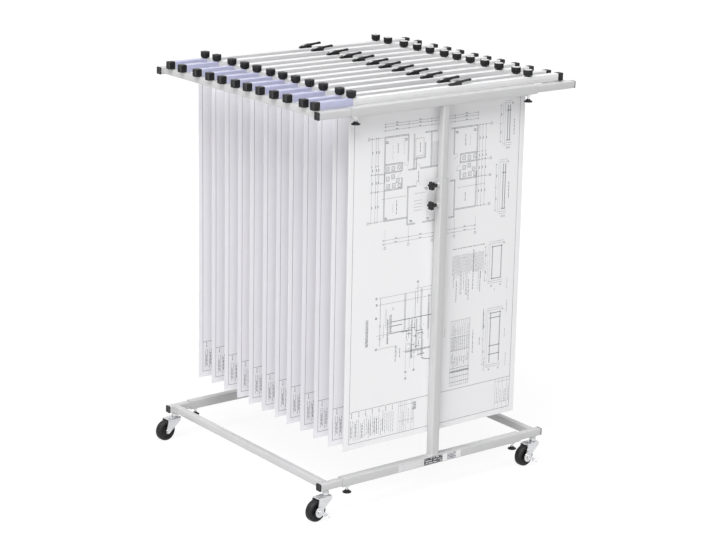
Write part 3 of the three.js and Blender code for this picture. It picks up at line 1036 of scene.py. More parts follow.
@dataclass
class TubeFrame(Assembly):
    """The telescopic frame: rails, posts and end frames of square tube."""

    outer_wall: float = 2.0
    inner_wall: float = 1.5
    corner: float = 2.2
    arm_length: float = 290.0
    arm_start: float = 0.8
    cross_setback: float = 15.0
    cap_lip: float = 0.35
    cap_depth: float = 3.2
    cap_corner: float = 2.5
    cap_rim: float = 2.2
    cap_dish: float = 0.7
    weld_spread: float = 1.6
    weld_rise: float = 2.4
    weld_sink: float = 0.2
    weld_proud: float = 0.15
    upper_post_length: float = 588.0
    post_extension: float = 198.5
    cap_faces: tuple = (
        (Level.BASE, End.LEFT, -395.0),
        (Level.BASE, End.RIGHT, 402.0),
        (Level.TOP, End.LEFT, -424.0),
        (Level.TOP, End.RIGHT, 464.0),
    )

    def tube(self, low: Point, high: Point, axis: Axis, wall: float) -> Object:
        """A square tube with rounded corners and open ends.

        Args:
            low: its lowest corner.
            high: its highest corner.
            axis: the axis that it runs along.
            wall: its wall thickness.

        Returns:
            The tube.
        """
        tube = Bench.block(low, high)
        Bench.bevel(tube, along(axis), self.corner, 4)
        Bench.remove(tube, along(axis))
        Bench.modify(tube, "SOLIDIFY", thickness=wall * MM, offset=-1.0, use_even_offset=True)
        return Bench.smooth(tube)

    def rail(self, side: Side, z: float) -> Object:
        """An outer rail along X at a level."""
        y, half, end = side.value * self.layout.rail_y, self.layout.outer / 2, self.layout.rail_end
        return self.tube((-end, y - half, z - half), (end, y + half, z + half), Axis.X, self.outer_wall)

    def post(self, side: Side, size: float, low: float, high: float, wall: float) -> Object:
        """A post on the middle of a side, between two levels."""
        y, half = side.value * self.layout.rail_y, size / 2
        return self.tube((-half, y - half, low), (half, y + half, high), Axis.Z, wall)

    def foot_weld(self, side: Side, size: float, z: float, up: int) -> Object:
        """The bead where a post meets its rail.

        Args:
            side: which side of the rack.
            size: the post's width.
            z: the level of the rail's face.
            up: 1 if the post stands on the rail, -1 if it hangs under it.

        Returns:
            The bead.
        """
        y, half = side.value * self.layout.rail_y, size / 2
        wide, deep, far = half + self.weld_spread, half + self.weld_proud, z + self.weld_rise * up
        low, high = sorted((z - self.weld_sink * up, far))
        weld = Bench.block((-wide, y - deep, low), (wide, y + deep, high))
        Bench.scale(weld, at_level(far), (1 - self.weld_spread / wide, 1, 1), (0, y, far))
        return Bench.soften(weld, 0.5)

    def build_side(self, side: Side) -> None:
        """Builds the rails and posts of one long side.

        Args:
            side: which side of the rack.
        """
        lay, base, top = self.layout, Level.BASE.value, Level.TOP.value
        rail_foot = lay.top_z - lay.outer / 2
        foot = lay.post_top + self.post_extension - self.upper_post_length
        for name, piece, body, nodes in (
            ("base_rail", self.rail(side, lay.base_z), base, [f"{base}_{side.word}"]),
            ("lower_post", self.post(side, lay.outer, lay.post_foot, lay.post_top, self.outer_wall), base, []),
            ("top_rail", self.rail(side, lay.top_z), top, [f"{top}_{side.word}"]),
            ("upper_post", self.post(side, lay.inner, foot, rail_foot, self.inner_wall), top, []),
            ("lower_weld", self.foot_weld(side, lay.outer, lay.post_foot, 1), base, []),
            ("upper_weld", self.foot_weld(side, lay.inner, rail_foot, -1), top, []),
        ):
            hand_over(piece, f"{name}_{side.word}", self.finishes.coat, body, *nodes)

    def cap(self, face: float, inwards: int, y: float, z: float) -> Object:
        """A plug cap on the end of an arm, with a rounded rim and a sunk middle.

        Args:
            face: the X of the cap's outer face.
            inwards: the sign of X towards the arm.
            y: the arm's middle.
            z: the arm's middle.

        Returns:
            The cap.
        """
        half = self.layout.inner / 2 + self.cap_lip
        low, high = sorted((face, face + inwards * self.cap_depth))
        cap = Bench.block((low, y - half, z - half), (high, y + half, z + half))
        Bench.bevel(cap, along(Axis.X), self.cap_corner, 4)
        Bench.inset(cap, facing(Axis.X, -inwards), self.cap_rim, -self.cap_dish)
        return Bench.soften(cap, 0.45)

    def build_end(self, level: Level, end: End, face: float) -> None:
        """Builds one end frame: two arms, the cross tube and two caps.

        Args:
            level: base or top.
            end: left or right.
            face: the X of the caps' outer faces.
        """
        lay, done, inwards, wall = self.layout, self.finishes, -end.value, self.inner_wall
        z, half = lay.rail_z(level), lay.inner / 2
        reach, near = lay.rail_y - half, face + inwards * self.cross_setback
        low, high = sorted((face + inwards * self.cap_depth * self.arm_start, face + inwards * self.arm_length))
        tag = f"{level.word}_{end.word}"
        body = f"{level.word}_end_{end.word}"
        arms, caps = [], []
        for y in (-lay.rail_y, lay.rail_y):
            arms.append(self.tube((low, y - half, z - half), (high, y + half, z + half), Axis.X, wall))
            caps.append(self.cap(face, inwards, y, z))
        hand_over(Bench.join(*arms), f"arms_{tag}", done.coat, body, body)
        hand_over(Bench.join(*caps), f"end_caps_{tag}", done.black, body)
        low, high = sorted((near, near + inwards * lay.inner))
        cross = self.tube((low, -reach, z - half), (high, reach, z + half), Axis.Y, wall)
        hand_over(cross, f"cross_tube_{tag}", done.coat, body)

    def build(self) -> None:
        """Builds the whole frame."""
        for side in Side:
            self.build_side(side)
        for level, end, face in self.cap_faces:
            self.build_end(level, end, face)


@dataclass
class LockScrews(Assembly):
    """Thumb screws under the rails and star knobs on the posts."""

    inset: float = 22.0
    nut_radius: float = 7.0
    nut_height: float = 6.0
    nut_sink: float = 0.3
    screw_radius: float = 3.0
    turns: int = 9
    stem: float = 7.5
    thumb_radius: float = 12.5
    thumb_height: float = 9.0
    star_gap: float = 0.4
    star_radius: float = 12.5
    star_neck: float = 13.0
    star_depth: float = 8.0
    star_drop: float = 19.0
    star_pitch: float = 54.5
    lobes: int = 6
    hollow: float = 4.6

    def thumb_knob(self, x: float, y: float, top: float) -> Object:
        """A hat-shaped knob with a domed foot and a narrow crown.

        Args:
            x: its axis.
            y: its axis.
            top: the level of its crown.

        Returns:
            The knob.
        """
        r, h = self.thumb_radius, self.thumb_height
        profile = [(0, -h), (0.62 * r, -h + 0.1), (r - 1.2, -h + 0.4), (r - 0.2, -h + 1.2), (r, -h + 2.0)]
        profile += [(r - 0.6, -h + 3.0), (r - 2.2, -h + 3.9), (0.62 * r, -0.42 * h)]
        profile += [(5.6, -1.4), (5.0, -0.3), (4.2, 0), (0, 0)]
        return Bench.turned(profile, (x, y, top), UP, 36)

    def screw(self, x: float, y: float, rail_foot: float) -> Object:
        """The welded hex nut under a rail and the screw in it.

        Args:
            x: its axis.
            y: its axis.
            rail_foot: the level of the rail's underside.

        Returns:
            The nut and screw.
        """
        nut = Bench.rod(
            self.nut_radius, (x, y, rail_foot - self.nut_height), (x, y, rail_foot + self.nut_sink), 6
        )
        Bench.soften(nut, 0.5)
        r, depth = self.screw_radius, self.nut_height + self.stem
        threads = [(0, 0.5), (r, 0.5)]
        for turn in range(self.turns):
            z = -depth * turn / self.turns
            threads += [(r, z - 0.25), (r - 0.35, z - 0.6), (r - 0.35, z - 0.95), (r, z - 1.3)]
        threads += [(r, -depth - 0.4), (0, -depth - 0.4)]
        return Bench.join(nut, Bench.turned(threads, (x, y, rail_foot), UP, 16, 50))

    def build_rail(self, side: Side, level: Level) -> None:
        """Builds the two thumb screws of one rail.

        Args:
            side: which side of the rack.
            level: base or top.
        """
        lay, tag = self.layout, f"{level.word}_{side.word}"
        y, foot = side.value * lay.rail_y, lay.rail_z(level) - lay.outer / 2
        places = (self.inset - lay.rail_end, lay.rail_end - self.inset)
        knobs = [self.thumb_knob(x, y, foot - self.nut_height - self.stem) for x in places]
        screws = [self.screw(x, y, foot) for x in places]
        hand_over(Bench.join(*knobs), f"thumb_knobs_{tag}", self.finishes.black, level.value)
        hand_over(Bench.join(*screws), f"lock_screws_{tag}", self.finishes.zinc, level.value)

    def star(self) -> Object:
        """A six-lobed knob on its neck, with a cover in its face; the axis is X and the post's face is x = 0.

        Returns:
            The knob, pointing towards -X.
        """
        neck_face = -self.nut_height - self.star_gap
        head_face = neck_face - self.star_neck
        front = head_face - self.star_depth
        head = Bench.plate(lobed(self.star_radius, self.hollow, self.lobes, 10), Axis.X, front, head_face)
        Bench.inset(head, along(Axis.X), 1.0, 0.7)
        Bench.inset(head, facing(Axis.X, -1), 3.0, -0.6)
        Bench.soften(head, 0.5, 2, 50)
        length = self.star_neck + 0.6
        profile = [(0, 0), (4.4, 0), (5, 0.6), (5, 0.6 * length), (6.4, length - 1.5), (6.4, length), (0, length)]
        neck = Bench.turned(profile, (neck_face, 0, 0), LEFTWARDS, 24)
        profile = [(0, 0), (3.8, 0), (3.8, 0.7), (3.2, 1.1), (0, 1.3)]
        cover = Bench.turned(profile, (front + 0.3, 0, 0), LEFTWARDS, 20)
        return Bench.join(head, neck, cover)

    def build_post(self, side: Side) -> None:
        """Builds the two star knobs of one post, with their nuts and studs.

        Args:
            side: which side of the rack.
        """
        lay, done = self.layout, self.finishes
        turn = Matrix.Rotation(math.pi if side is Side.BACK else 0.0, 4, "Z")
        upper = lay.post_top - self.star_drop
        knob = self.star()
        nut = Bench.rod(self.nut_radius, (self.nut_sink, 0, 0), (-self.nut_height, 0, 0), 6)
        Bench.soften(nut, 0.5)
        tip = (lay.outer - lay.inner) / 2 - 0.3
        stud = Bench.rod(self.screw_radius, (tip, 0, 0), (-self.nut_height - 1.5, 0, 0), 16)
        Bench.soften(stud, 0.3)
        for level, z in (("upper", upper), ("lower", upper - self.star_pitch)):
            tag = f"{side.word}_{level}"
            body = f"star_knob_{tag}"
            move = shift(0, side.value * lay.rail_y, z) @ turn @ shift(-lay.outer / 2)
            hand_over(Bench.copy(knob, move), f"star_head_{tag}", done.black, body, body)
            hand_over(Bench.copy(stud, move), f"star_stud_{tag}", done.zinc, body)
            hand_over(Bench.copy(nut, move), f"star_nut_{tag}", done.coat, Level.BASE.value)
        Bench.discard(knob, nut, stud)

    def build(self) -> None:
        """Builds every locking screw."""
        for side in Side:
            for level in Level:
                self.build_rail(side, level)
            self.build_post(side)


@dataclass
class Caster(Assembly):
    """A swivel caster, modelled once about its swivel axis and copied to each corner."""

    wheel_radius: float = 30.2391
    wheel_width: float = 22.0
    axle_z: float = 30.2391
    axle_radius: float = 4.0
    bolt_radius: float = 6.5
    bolt_height: float = 3.0
    bolt_sink: float = 0.6
    trail: float = 36.0
    heading: float = 6.5
    fork_inner: float = 13.2
    fork_wall: float = 2.5
    fork_nose: float = 11.0
    fork_tail: float = 34.0
    fork_eye: float = 8.0
    fork_bend: float = 5.0
    cheek_drop: float = 10.0
    crown_z: float = 63.7391
    crown_thickness: float = 3.0
    stem_foot: float = 67.1391
    stem_radius: float = 8.5
    nut_radius: float = 10.0
    nut_height: float = 8.0
    tube_foot: float = 82.0391
    kingpin_foot: float = 59.8391
    brake_plate: float = 2.5
    brake_room: float = 0.8
    brake_gap: float = 0.4
    brake_bore: float = 4.4
    brake_eye: float = 15.0
    brake_arm: float = 34.0
    brake_half: float = 4.0
    brake_drop: float = -30.0
    pedal_length: float = 14.0
    pedal_reach: float = 12.0
    pedal_plate: float = 2.5
    stems_x: tuple = ((End.LEFT, -370.0), (End.RIGHT, 377.0))

    def tread(self) -> Object:
        """The tyre, with rounded shoulders.

        Returns:
            The tyre.
        """
        r, half = self.wheel_radius, self.wheel_width / 2
        right = [(r - 9.0, half - 1.6), (r - 8.4, half - 0.4), (r - 7.0, half), (r - 4.8, half)]
        right += [(r - 2.8, half - 0.7), (r - 1.2, half - 2.4), (r - 0.3, half - 4.8), (r, half - 7.6)]
        return Bench.turned(mirrored(right, 1, -1), (-self.trail, 0, self.axle_z), BACKWARDS, 56, 45)

    def hub(self) -> Object:
        """The wheel's centre: a dished web with a raised ring and a boss round the axle.

        Returns:
            The centre.
        """
        half, rim = self.wheel_width / 2, self.wheel_radius - 8.8
        right = [(4.5, half + 0.9), (8.6, half + 0.9), (9.6, half + 0.3), (10.2, half - 3.0), (14.6, half - 3.6)]
        right += [(15.2, half - 2.8), (16.6, half - 2.8), (17.2, half - 3.6), (20.0, half - 2.6), (rim, half - 1.5)]
        return Bench.turned(mirrored(right, 1, -1), (-self.trail, 0, self.axle_z), BACKWARDS, 48, 38)

    def yoke(self) -> Object:
        """The fork's pressed plate: a crown that bends down into two legs which narrow to the axle.

        Returns:
            The plate.
        """
        top, bend, eye = self.crown_z + self.crown_thickness, self.fork_bend, self.fork_eye
        outer, inner, low = self.fork_inner + self.fork_wall, self.fork_inner, self.axle_z - eye - 2
        small, nose, tail, cheek = bend - self.fork_wall, self.fork_nose, self.fork_tail, top - self.cheek_drop
        outside = mirrored([(outer, low), *arc((outer - bend, top - bend), bend, 0, 90, 5)], -1, 1)
        inside = mirrored([(inner, low), *arc((inner - small, self.crown_z - small), small, 0, 90, 5)], -1, 1)
        yoke = Bench.plate(outside + inside[::-1], Axis.X, -self.trail - eye - 3, nose + 3)
        side = [(-tail, top + 2), (-tail, top - 2), *arc((-self.trail, self.axle_z), eye, 176, 306, 14)]
        side += [(nose - 3, cheek - 1.7), *arc((nose - 3, cheek + 2.3), 3, -45, 0, 3), (nose, top + 2)]
        Bench.carve(yoke, Bench.plate(side, Axis.Y, -outer - 3, outer + 3), "INTERSECT")
        for margin, depth in ((2.6, 0.0), (0.9, -0.5)):
            Bench.inset(
                yoke, lambda place, way: abs(way.y) > STRAIGHT and abs(place.y) > inner + 1, margin, depth
            )
        return Bench.soften(yoke, 0.5, 2, 50)

    def fork(self, braked: bool) -> Object:
        """The fork with its axle bolt and nut.

        Args:
            braked: whether a brake plate sits between the leg and the bolt's head.

        Returns:
            The fork.
        """
        outer, x, z = self.fork_inner + self.fork_wall, -self.trail, self.axle_z
        room = self.brake_plate + self.brake_room if braked else 0.0
        sink = 0.0 if braked else self.bolt_sink
        pin = Bench.smooth(Bench.rod(self.axle_radius, (x, outer, z), (x, -outer - room - 0.3, z)))
        heads = []
        for start, end in (
            (outer - self.bolt_sink, outer + self.bolt_height),
            (-outer - room + sink, -outer - room - self.bolt_height),
        ):
            heads.append(Bench.soften(Bench.rod(self.bolt_radius, (x, start, z), (x, end, z), 6), 0.7))
        return Bench.join(self.yoke(), pin, *heads)

    def kingpin(self) -> Object:
        """The nut on the crown, the pin through it and its riveted head.

        Returns:
            The nut and pin.
        """
        foot, low = self.stem_foot, self.kingpin_foot
        nut = Bench.soften(Bench.rod(self.nut_radius, (0, 0, foot), (0, 0, foot + self.nut_height), 6), 0.8)
        profile = [(0, foot + 1.0), (4.0, foot + 1.0), (4.0, low + 3.5), (7.0, low + 3.4)]
        profile += [(6.8, low + 1.6), (5.2, low + 0.3), (0, low)]
        return Bench.join(nut, Bench.turned(profile, (0, 0, 0), UP, 32))

    def stem(self) -> Object:
        """The painted stem between the base tube and the nut, flared where it is welded on.

        Returns:
            The stem.
        """
        r, top, low = self.stem_radius, self.tube_foot, self.stem_foot + self.nut_height
        profile = [(0, low - 0.4), (r - 0.6, low - 0.4), (r, low + 0.2)]
        profile += [(r, top - 1.4), (r + 1.2, top), (0, top + 0.2)]
        return Bench.turned(profile, (0, 0, 0), UP, 32)

    def brake(self) -> Object:
        """The brake: a round plate over the hub with an arm and a pedal turned outwards.

        Returns:
            The brake, turned to where it rests.
        """
        inner = -(self.fork_inner + self.fork_wall + self.brake_gap)
        outer, half, arm = inner - self.brake_plate, self.brake_half, self.brake_arm
        points = arc((0, 0), self.brake_eye, 20, 340, 34)
        points += [(arm - 1.5, -half), (arm, -half + 1.5), (arm, half - 1.5), (arm - 1.5, half)]
        plate = Bench.plate(points, Axis.Y, outer, inner)
        Bench.carve(plate, Bench.rod(self.brake_bore, (0, outer - 2, 0), (0, inner + 2, 0)))
        Bench.soften(plate, 0.45, 2, 50)
        start = (arm - self.pedal_length, outer - self.pedal_reach, -half)
        pedal = Bench.block(start, (arm, outer + 0.4, -half + self.pedal_plate))
        Bench.bevel(pedal, lambda place, way: abs(way.z) > STRAIGHT and place.y < outer - 8, 4.0, 5)
        brake = Bench.join(plate, Bench.soften(pedal, 0.6, 2, 50))
        turn = Matrix.Rotation(-math.radians(self.brake_drop), 4, "Y")
        brake.data.transform(shift(-self.trail, 0, self.axle_z) @ turn)
        return brake

    def build(self) -> None:
        """Builds the four casters."""
        done, copy = self.finishes, Bench.copy
        forks = {side: self.fork(side is Side.FRONT) for side in Side}
        tyre, hub, pin, stem, brake = self.tread(), self.hub(), self.kingpin(), self.stem(), self.brake()
        turn = Matrix.Rotation(math.radians(self.heading), 4, "Z")
        for end, x in self.stems_x:
            moves = {side: shift(x, side.value * self.layout.rail_y) @ turn for side in Side}
            for side, move in moves.items():
                tag = f"{side.word}_{end.word}"
                hand_over(copy(forks[side], move), f"fork_{tag}", done.zinc, f"caster_{tag}", f"caster_fork_{tag}")
                hand_over(copy(tyre, move), f"tread_{tag}", done.tyre, f"wheel_{tag}", f"caster_wheel_{tag}")
                hand_over(copy(hub, move), f"hub_{tag}", done.black, f"wheel_{tag}")
                if side is Side.FRONT:
                    plate = copy(brake, move)
                    hand_over(plate, f"brake_plate_{tag}", done.zinc, f"brake_{tag}", f"caster_brake_{tag}")
            for pattern, name, finish in ((pin, "kingpins", done.zinc), (stem, "caster_stems", done.coat)):
                pair = Bench.join(*[copy(pattern, move) for move in moves.values()])
                hand_over(pair, f"{name}_{end.word}", finish, f"base_end_{end.word}")
        Bench.discard(*forks.values(), tyre, hub, pin, stem, brake)


@dataclass
class Hanger(Assembly):
    """A clamp hanger, modelled once on Y = 0 and copied to each station."""

    left: float = -421.0
    right: float = 438.0
    width: float = 19.0
    height: float = 21.0
    corner: float = 2.0
    slot_half: float = 0.8
    slot_depth: float = 14.0
    slot_mouth: float = 2.0
    cap_length: float = 18.5
    cap_overlap: float = 4.0
    cap_lip: float = 0.5
    cap_corner: float = 2.2
    cap_rim: float = 2.4
    cap_dish: float = 0.8
    knobs_x: tuple = (-297.0, 314.0)
    knob_top: float = 13.7
    knob_foot: float = 11.6
    knob_head: float = 16.6
    knob_taper: float = 3.6
    knob_neck: float = 2.4
    knob_rim: float = 1.0
    knob_dish: float = 0.8
    knob_lobes: int = 6
    knob_hollow: float = 2.2
    cover_gap: float = 0.3
    cover_sink: float = 0.05
    pivot_x: float = 65.0
    pivot_height: float = 6.5
    pin_radius: float = 2.0
    bore_radius: float = 2.4
    hub_radius: float = 5.6
    lever_width: float = 7.0
    lever_reach: float = 39.0
    lever_rise: float = 4.6
    lever_tip: float = 3.6
    ear_gap: float = 0.4
    ear_wall: float = 2.8
    nose_reach: float = 32.5
    nose_radius: float = 3.2
    nose_height: float = 5.4
    nose_length: float = 8.5
    nose_narrow: float = 0.74
    plates_y: tuple = ((-4.4, -0.7), (0.7, 4.4))
    plate_proud: float = 0.3
    plate_sink: float = 0.5
    strip_wall: float = 0.3
    strip_fit: float = 0.02
    strip_foot: float = 1.5
    strip_gap: float = 1.0

    def bar(self) -> Object:
        """The aluminium clamp bar: slot below, grooves in the sides and along the top.

        Returns:
            The bar.
        """
        z, half, slot = self.layout.hanger_foot, self.width / 2, self.slot_half
        top, mouth, depth = z + self.height, z + self.slot_mouth, z + self.slot_depth
        right = [(slot + self.slot_mouth, z), (half - 0.6, z), (half, z + 0.6), (half, z + 6.6)]
        right += [(half - 0.5, z + 7.0), (half - 0.5, z + 7.8), (half, z + 8.2)]
        right += [*arc((half - self.corner, top - self.corner), self.corner, 0, 90, 4), (0.9, top), (0.5, top - 0.6)]
        inside = [(-slot, mouth), (-slot, depth), (slot, depth), (slot, mouth)]
        inset = self.cap_length - self.cap_overlap
        bar = Bench.plate(mirrored(right, -1, 1) + inside, Axis.X, self.left + inset, self.right - inset)
        return Bench.smooth(bar, 30)

    def caps(self) -> Object:
        """The two end caps, each with a rounded edge and a sunk outer face.

        Returns:
            The caps.
        """
        half, foot = self.width / 2 + self.cap_lip, self.layout.hanger_foot
        top = self.layout.hanger_top + self.cap_lip
        made = []
        for outer, outwards in ((self.left, -1), (self.right, 1)):
            low, high = sorted((outer, outer - outwards * self.cap_length))
            cap = Bench.block((low, -half, foot), (high, half, top))
            Bench.bevel(cap, along(Axis.X), self.cap_corner, 4)
            Bench.inset(cap, facing(Axis.X, outwards), self.cap_rim, -self.cap_dish)
            made.append(Bench.soften(cap, 0.7, 3, 50))
        return Bench.join(*made)

    def crown(self, x: float) -> Test:
        """A test for the face in the middle of the top of a knob."""
        return lambda place, way: way.z > STRAIGHT and math.hypot(place.x - x, place.y) < 1

    def knob(self, x: float) -> Object:
        """A clamping knob: a fluted head that narrows towards its neck.

        Args:
            x: its axis.

        Returns:
            The knob.
        """
        foot = self.layout.hanger_top + self.knob_neck
        top, skirt, narrow = foot + self.knob_head, foot + self.knob_taper, self.knob_foot / self.knob_top
        head = Bench.plate(lobed(self.knob_top, self.knob_hollow, self.knob_lobes, 8, (x, 0)), Axis.Z, skirt, top)
        drop = {"value": (0, 0, (foot - skirt) * MM)}
        extrude = bpy.ops.mesh.extrude_region_move
        Bench.shape(head, Part.FACE, facing(Axis.Z, -1), extrude, TRANSFORM_OT_translate=drop)
        Bench.scale(head, at_level(foot), (narrow, narrow, 1), (x, 0, foot))
        Bench.inset(head, facing(Axis.Z, 1), self.knob_rim, 0.0)
        Bench.inset(head, self.crown(x), 0.1, -self.knob_dish)
        Bench.soften(head, 0.5, 2, 50)
        high = self.knob_neck + 0.5
        profile = [(0, -0.4), (7.6, -0.4), (7.6, 0.5), (6.8, 1.2), (6.8, high), (0, high)]
        return Bench.join(head, Bench.turned(profile, (x, 0, self.layout.hanger_top), UP, 24))

    def knob_cover(self, x: float) -> Object:
        """The cover let into a knob's top, with the knob's own lobes and a sunk middle.

        Args:
            x: the knob's axis.

        Returns:
            The cover.
        """
        top = self.layout.hanger_top + self.knob_neck + self.knob_head
        radius = self.knob_top - self.knob_rim - self.cover_gap
        outline = lobed(radius, self.knob_hollow, self.knob_lobes, 8, (x, 0))
        cover = Bench.plate(outline, Axis.Z, top - self.knob_dish - self.cover_sink, top - self.cover_sink)
        Bench.inset(cover, facing(Axis.Z, 1), 5.0, 0.0)
        Bench.inset(cover, self.crown(x), 0.4, -0.3)
        return Bench.soften(cover, 0.2, 2, 50)

    def crest(self) -> list:
        """The round top of the bracket's ears, in (X, Z)."""
        middle = (self.pivot_x, self.layout.hanger_top + self.pivot_height)
        return arc(middle, self.hub_radius - 0.8, 0, 108, 8)

    def slope(self) -> list:
        """The bracket's back, falling from the crest to the nose, in (X, Z)."""
        x, z, nose = self.pivot_x, self.layout.hanger_top, self.pivot_x - self.nose_reach + self.nose_radius
        return bowed(self.crest()[-1], (x - 17, z + 11.4), (nose, z + self.nose_height), 10)

    def back_plates(self) -> Object:
        """Two bright plates let into the bracket's back, with a dark gap between them.

        Returns:
            The plates.
        """
        course = [Vector(point) for point in self.slope()][2:-1]
        upper, lower = [], []
        for before, point, after in zip(course, course[1:], course[2:]):
            way = (before - after).normalized()
            out = Vector((-way.y, way.x))
            upper.append(tuple(point + self.plate_proud * out))
            lower.append(tuple(point - self.plate_sink * out))
        made = [Bench.plate(upper + lower[::-1], Axis.Y, start, end) for start, end in self.plates_y]
        return Bench.join(*[Bench.soften(plate, 0.15, 2, 50) for plate in made])

    def bracket(self) -> Object:
        """The wedge on the bar that the lever turns in, with two ears and the pin between them.

        Returns:
            The bracket and pin.
        """
        x, z, r = self.pivot_x, self.layout.hanger_top, self.nose_radius
        pivot, nose = z + self.pivot_height, x - self.nose_reach
        room = self.lever_width / 2 + self.ear_gap
        half = room + self.ear_wall
        foot = [(nose, z - 0.3), (x + 8, z - 0.3), (x + 8, z + 1.5)]
        tip = arc((nose + r, z + self.nose_height - r), r, 90, 180, 5)[1:]
        wedge = Bench.plate(foot + self.crest() + self.slope() + tip, Axis.Y, -half, half)
        narrowing = (1, self.nose_narrow, 1)
        Bench.scale(wedge, lambda place, way: place.x < nose + self.nose_length, narrowing, (x, 0, z))
        Bench.carve(wedge, Bench.block((x - 6, -room, z + 0.5), (x + 10, room, z + 16)))
        Bench.soften(wedge, 0.7)
        pin = Bench.rod(self.pin_radius, (x, -half - 0.3, pivot), (x, half + 0.3, pivot), 20)
        return Bench.join(wedge, Bench.soften(pin, 0.25))

    def lever(self) -> Object:
        """The quick lever, closed: a round hub and an arm that rises towards a finger tip.

        Returns:
            The lever.
        """
        x, z, half = self.pivot_x, self.layout.hanger_top + self.pivot_height, self.lever_width / 2
        hub, reach, rise, tip = self.hub_radius, self.lever_reach, self.lever_rise, self.lever_tip
        points = [(x, z + hub)]
        points += bowed(points[-1], (x + 0.45 * reach, z + 0.9 * hub), (x + reach, z + rise + tip), 10)
        points += arc((x + reach, z + rise), tip, 90, -90, 6)[1:]
        points += bowed(points[-1], (x + 0.35 * reach, z + 0.3 * hub), (x + 0.6 * hub, z - 0.8 * hub), 10)
        points += arc((x, z), hub, -53.13, -270, 16)[1:-1]
        lever = Bench.plate(points, Axis.Y, -half, half)
        Bench.carve(lever, Bench.rod(self.bore_radius, (x, -half - 2, z), (x, half + 2, z), 20))
        return Bench.soften(lever, 0.8, 3, 50)

    def sleeve(self, out: float) -> list:
        """An outline over the bar's top and sides in (Y, Z), from right to left.

        Args:
            out: how far it stands off the bar.

        Returns:
            The points.
        """
        half, low, corner = self.width / 2, self.layout.hanger_foot + self.strip_foot, self.corner
        high = self.layout.hanger_foot + self.height - corner
        right = arc((half - corner, high), corner + out, 0, 90, 4)
        left = arc((-half + corner, high), corner + out, 90, 180, 4)
        return [(half + out, low), *right, *left, (-half - out, low)]

    def strip(self) -> Object:
        """The index strip: a thin sleeve over the bar between its left cap and left knob.

        Returns:
            The strip.
        """
        start, end = self.left + self.cap_length + self.strip_gap, self.knobs_x[0]
        outline = self.sleeve(self.strip_wall) + self.sleeve(self.strip_fit)[::-1]
        return Bench.smooth(Bench.plate(outline, Axis.X, start, end))

    def build(self) -> None:
        """Builds the twelve hangers."""
        done = self.finishes
        left, right = self.knobs_x
        patterns = {
            "clamp_knobs": (Bench.join(self.knob(left), self.knob(right), self.knob_cover(left)), done.black),
            "clamp_bar": (self.bar(), done.bar),
            "bar_caps": (self.caps(), done.black),
            "knob_cover": (self.knob_cover(right), done.cover),
            "lever_bracket": (self.bracket(), done.lever),
            "bracket_plates": (self.back_plates(), done.zinc),
            "index_strip": (self.strip(), done.strip),
        }
        lever = self.lever()
        for index in range(len(self.layout.stations)):
            number, move = f"{index + 1:02d}", shift(0, self.layout.hanger_y(index))
            for name, (pattern, finish) in patterns.items():
                nodes = [f"hanger_bar_{number}"] if name == "clamp_bar" else []
                hand_over(Bench.copy(pattern, move), f"{name}_{number}", finish, f"hanger_{number}", *nodes)
            arm, node = Bench.copy(lever, move), f"hanger_lever_{number}"
            hand_over(arm, f"quick_lever_{number}", done.lever, f"lever_{number}", node)
        Bench.discard(lever, *[pattern for pattern, _ in patterns.values()])


class Pen(Enum):
    """Line widths of the plotter, in millimetres on the sheet."""

    FINE = 0.45
    LIGHT = 0.6
    MEDIUM = 0.95
    HEAVY = 1.7


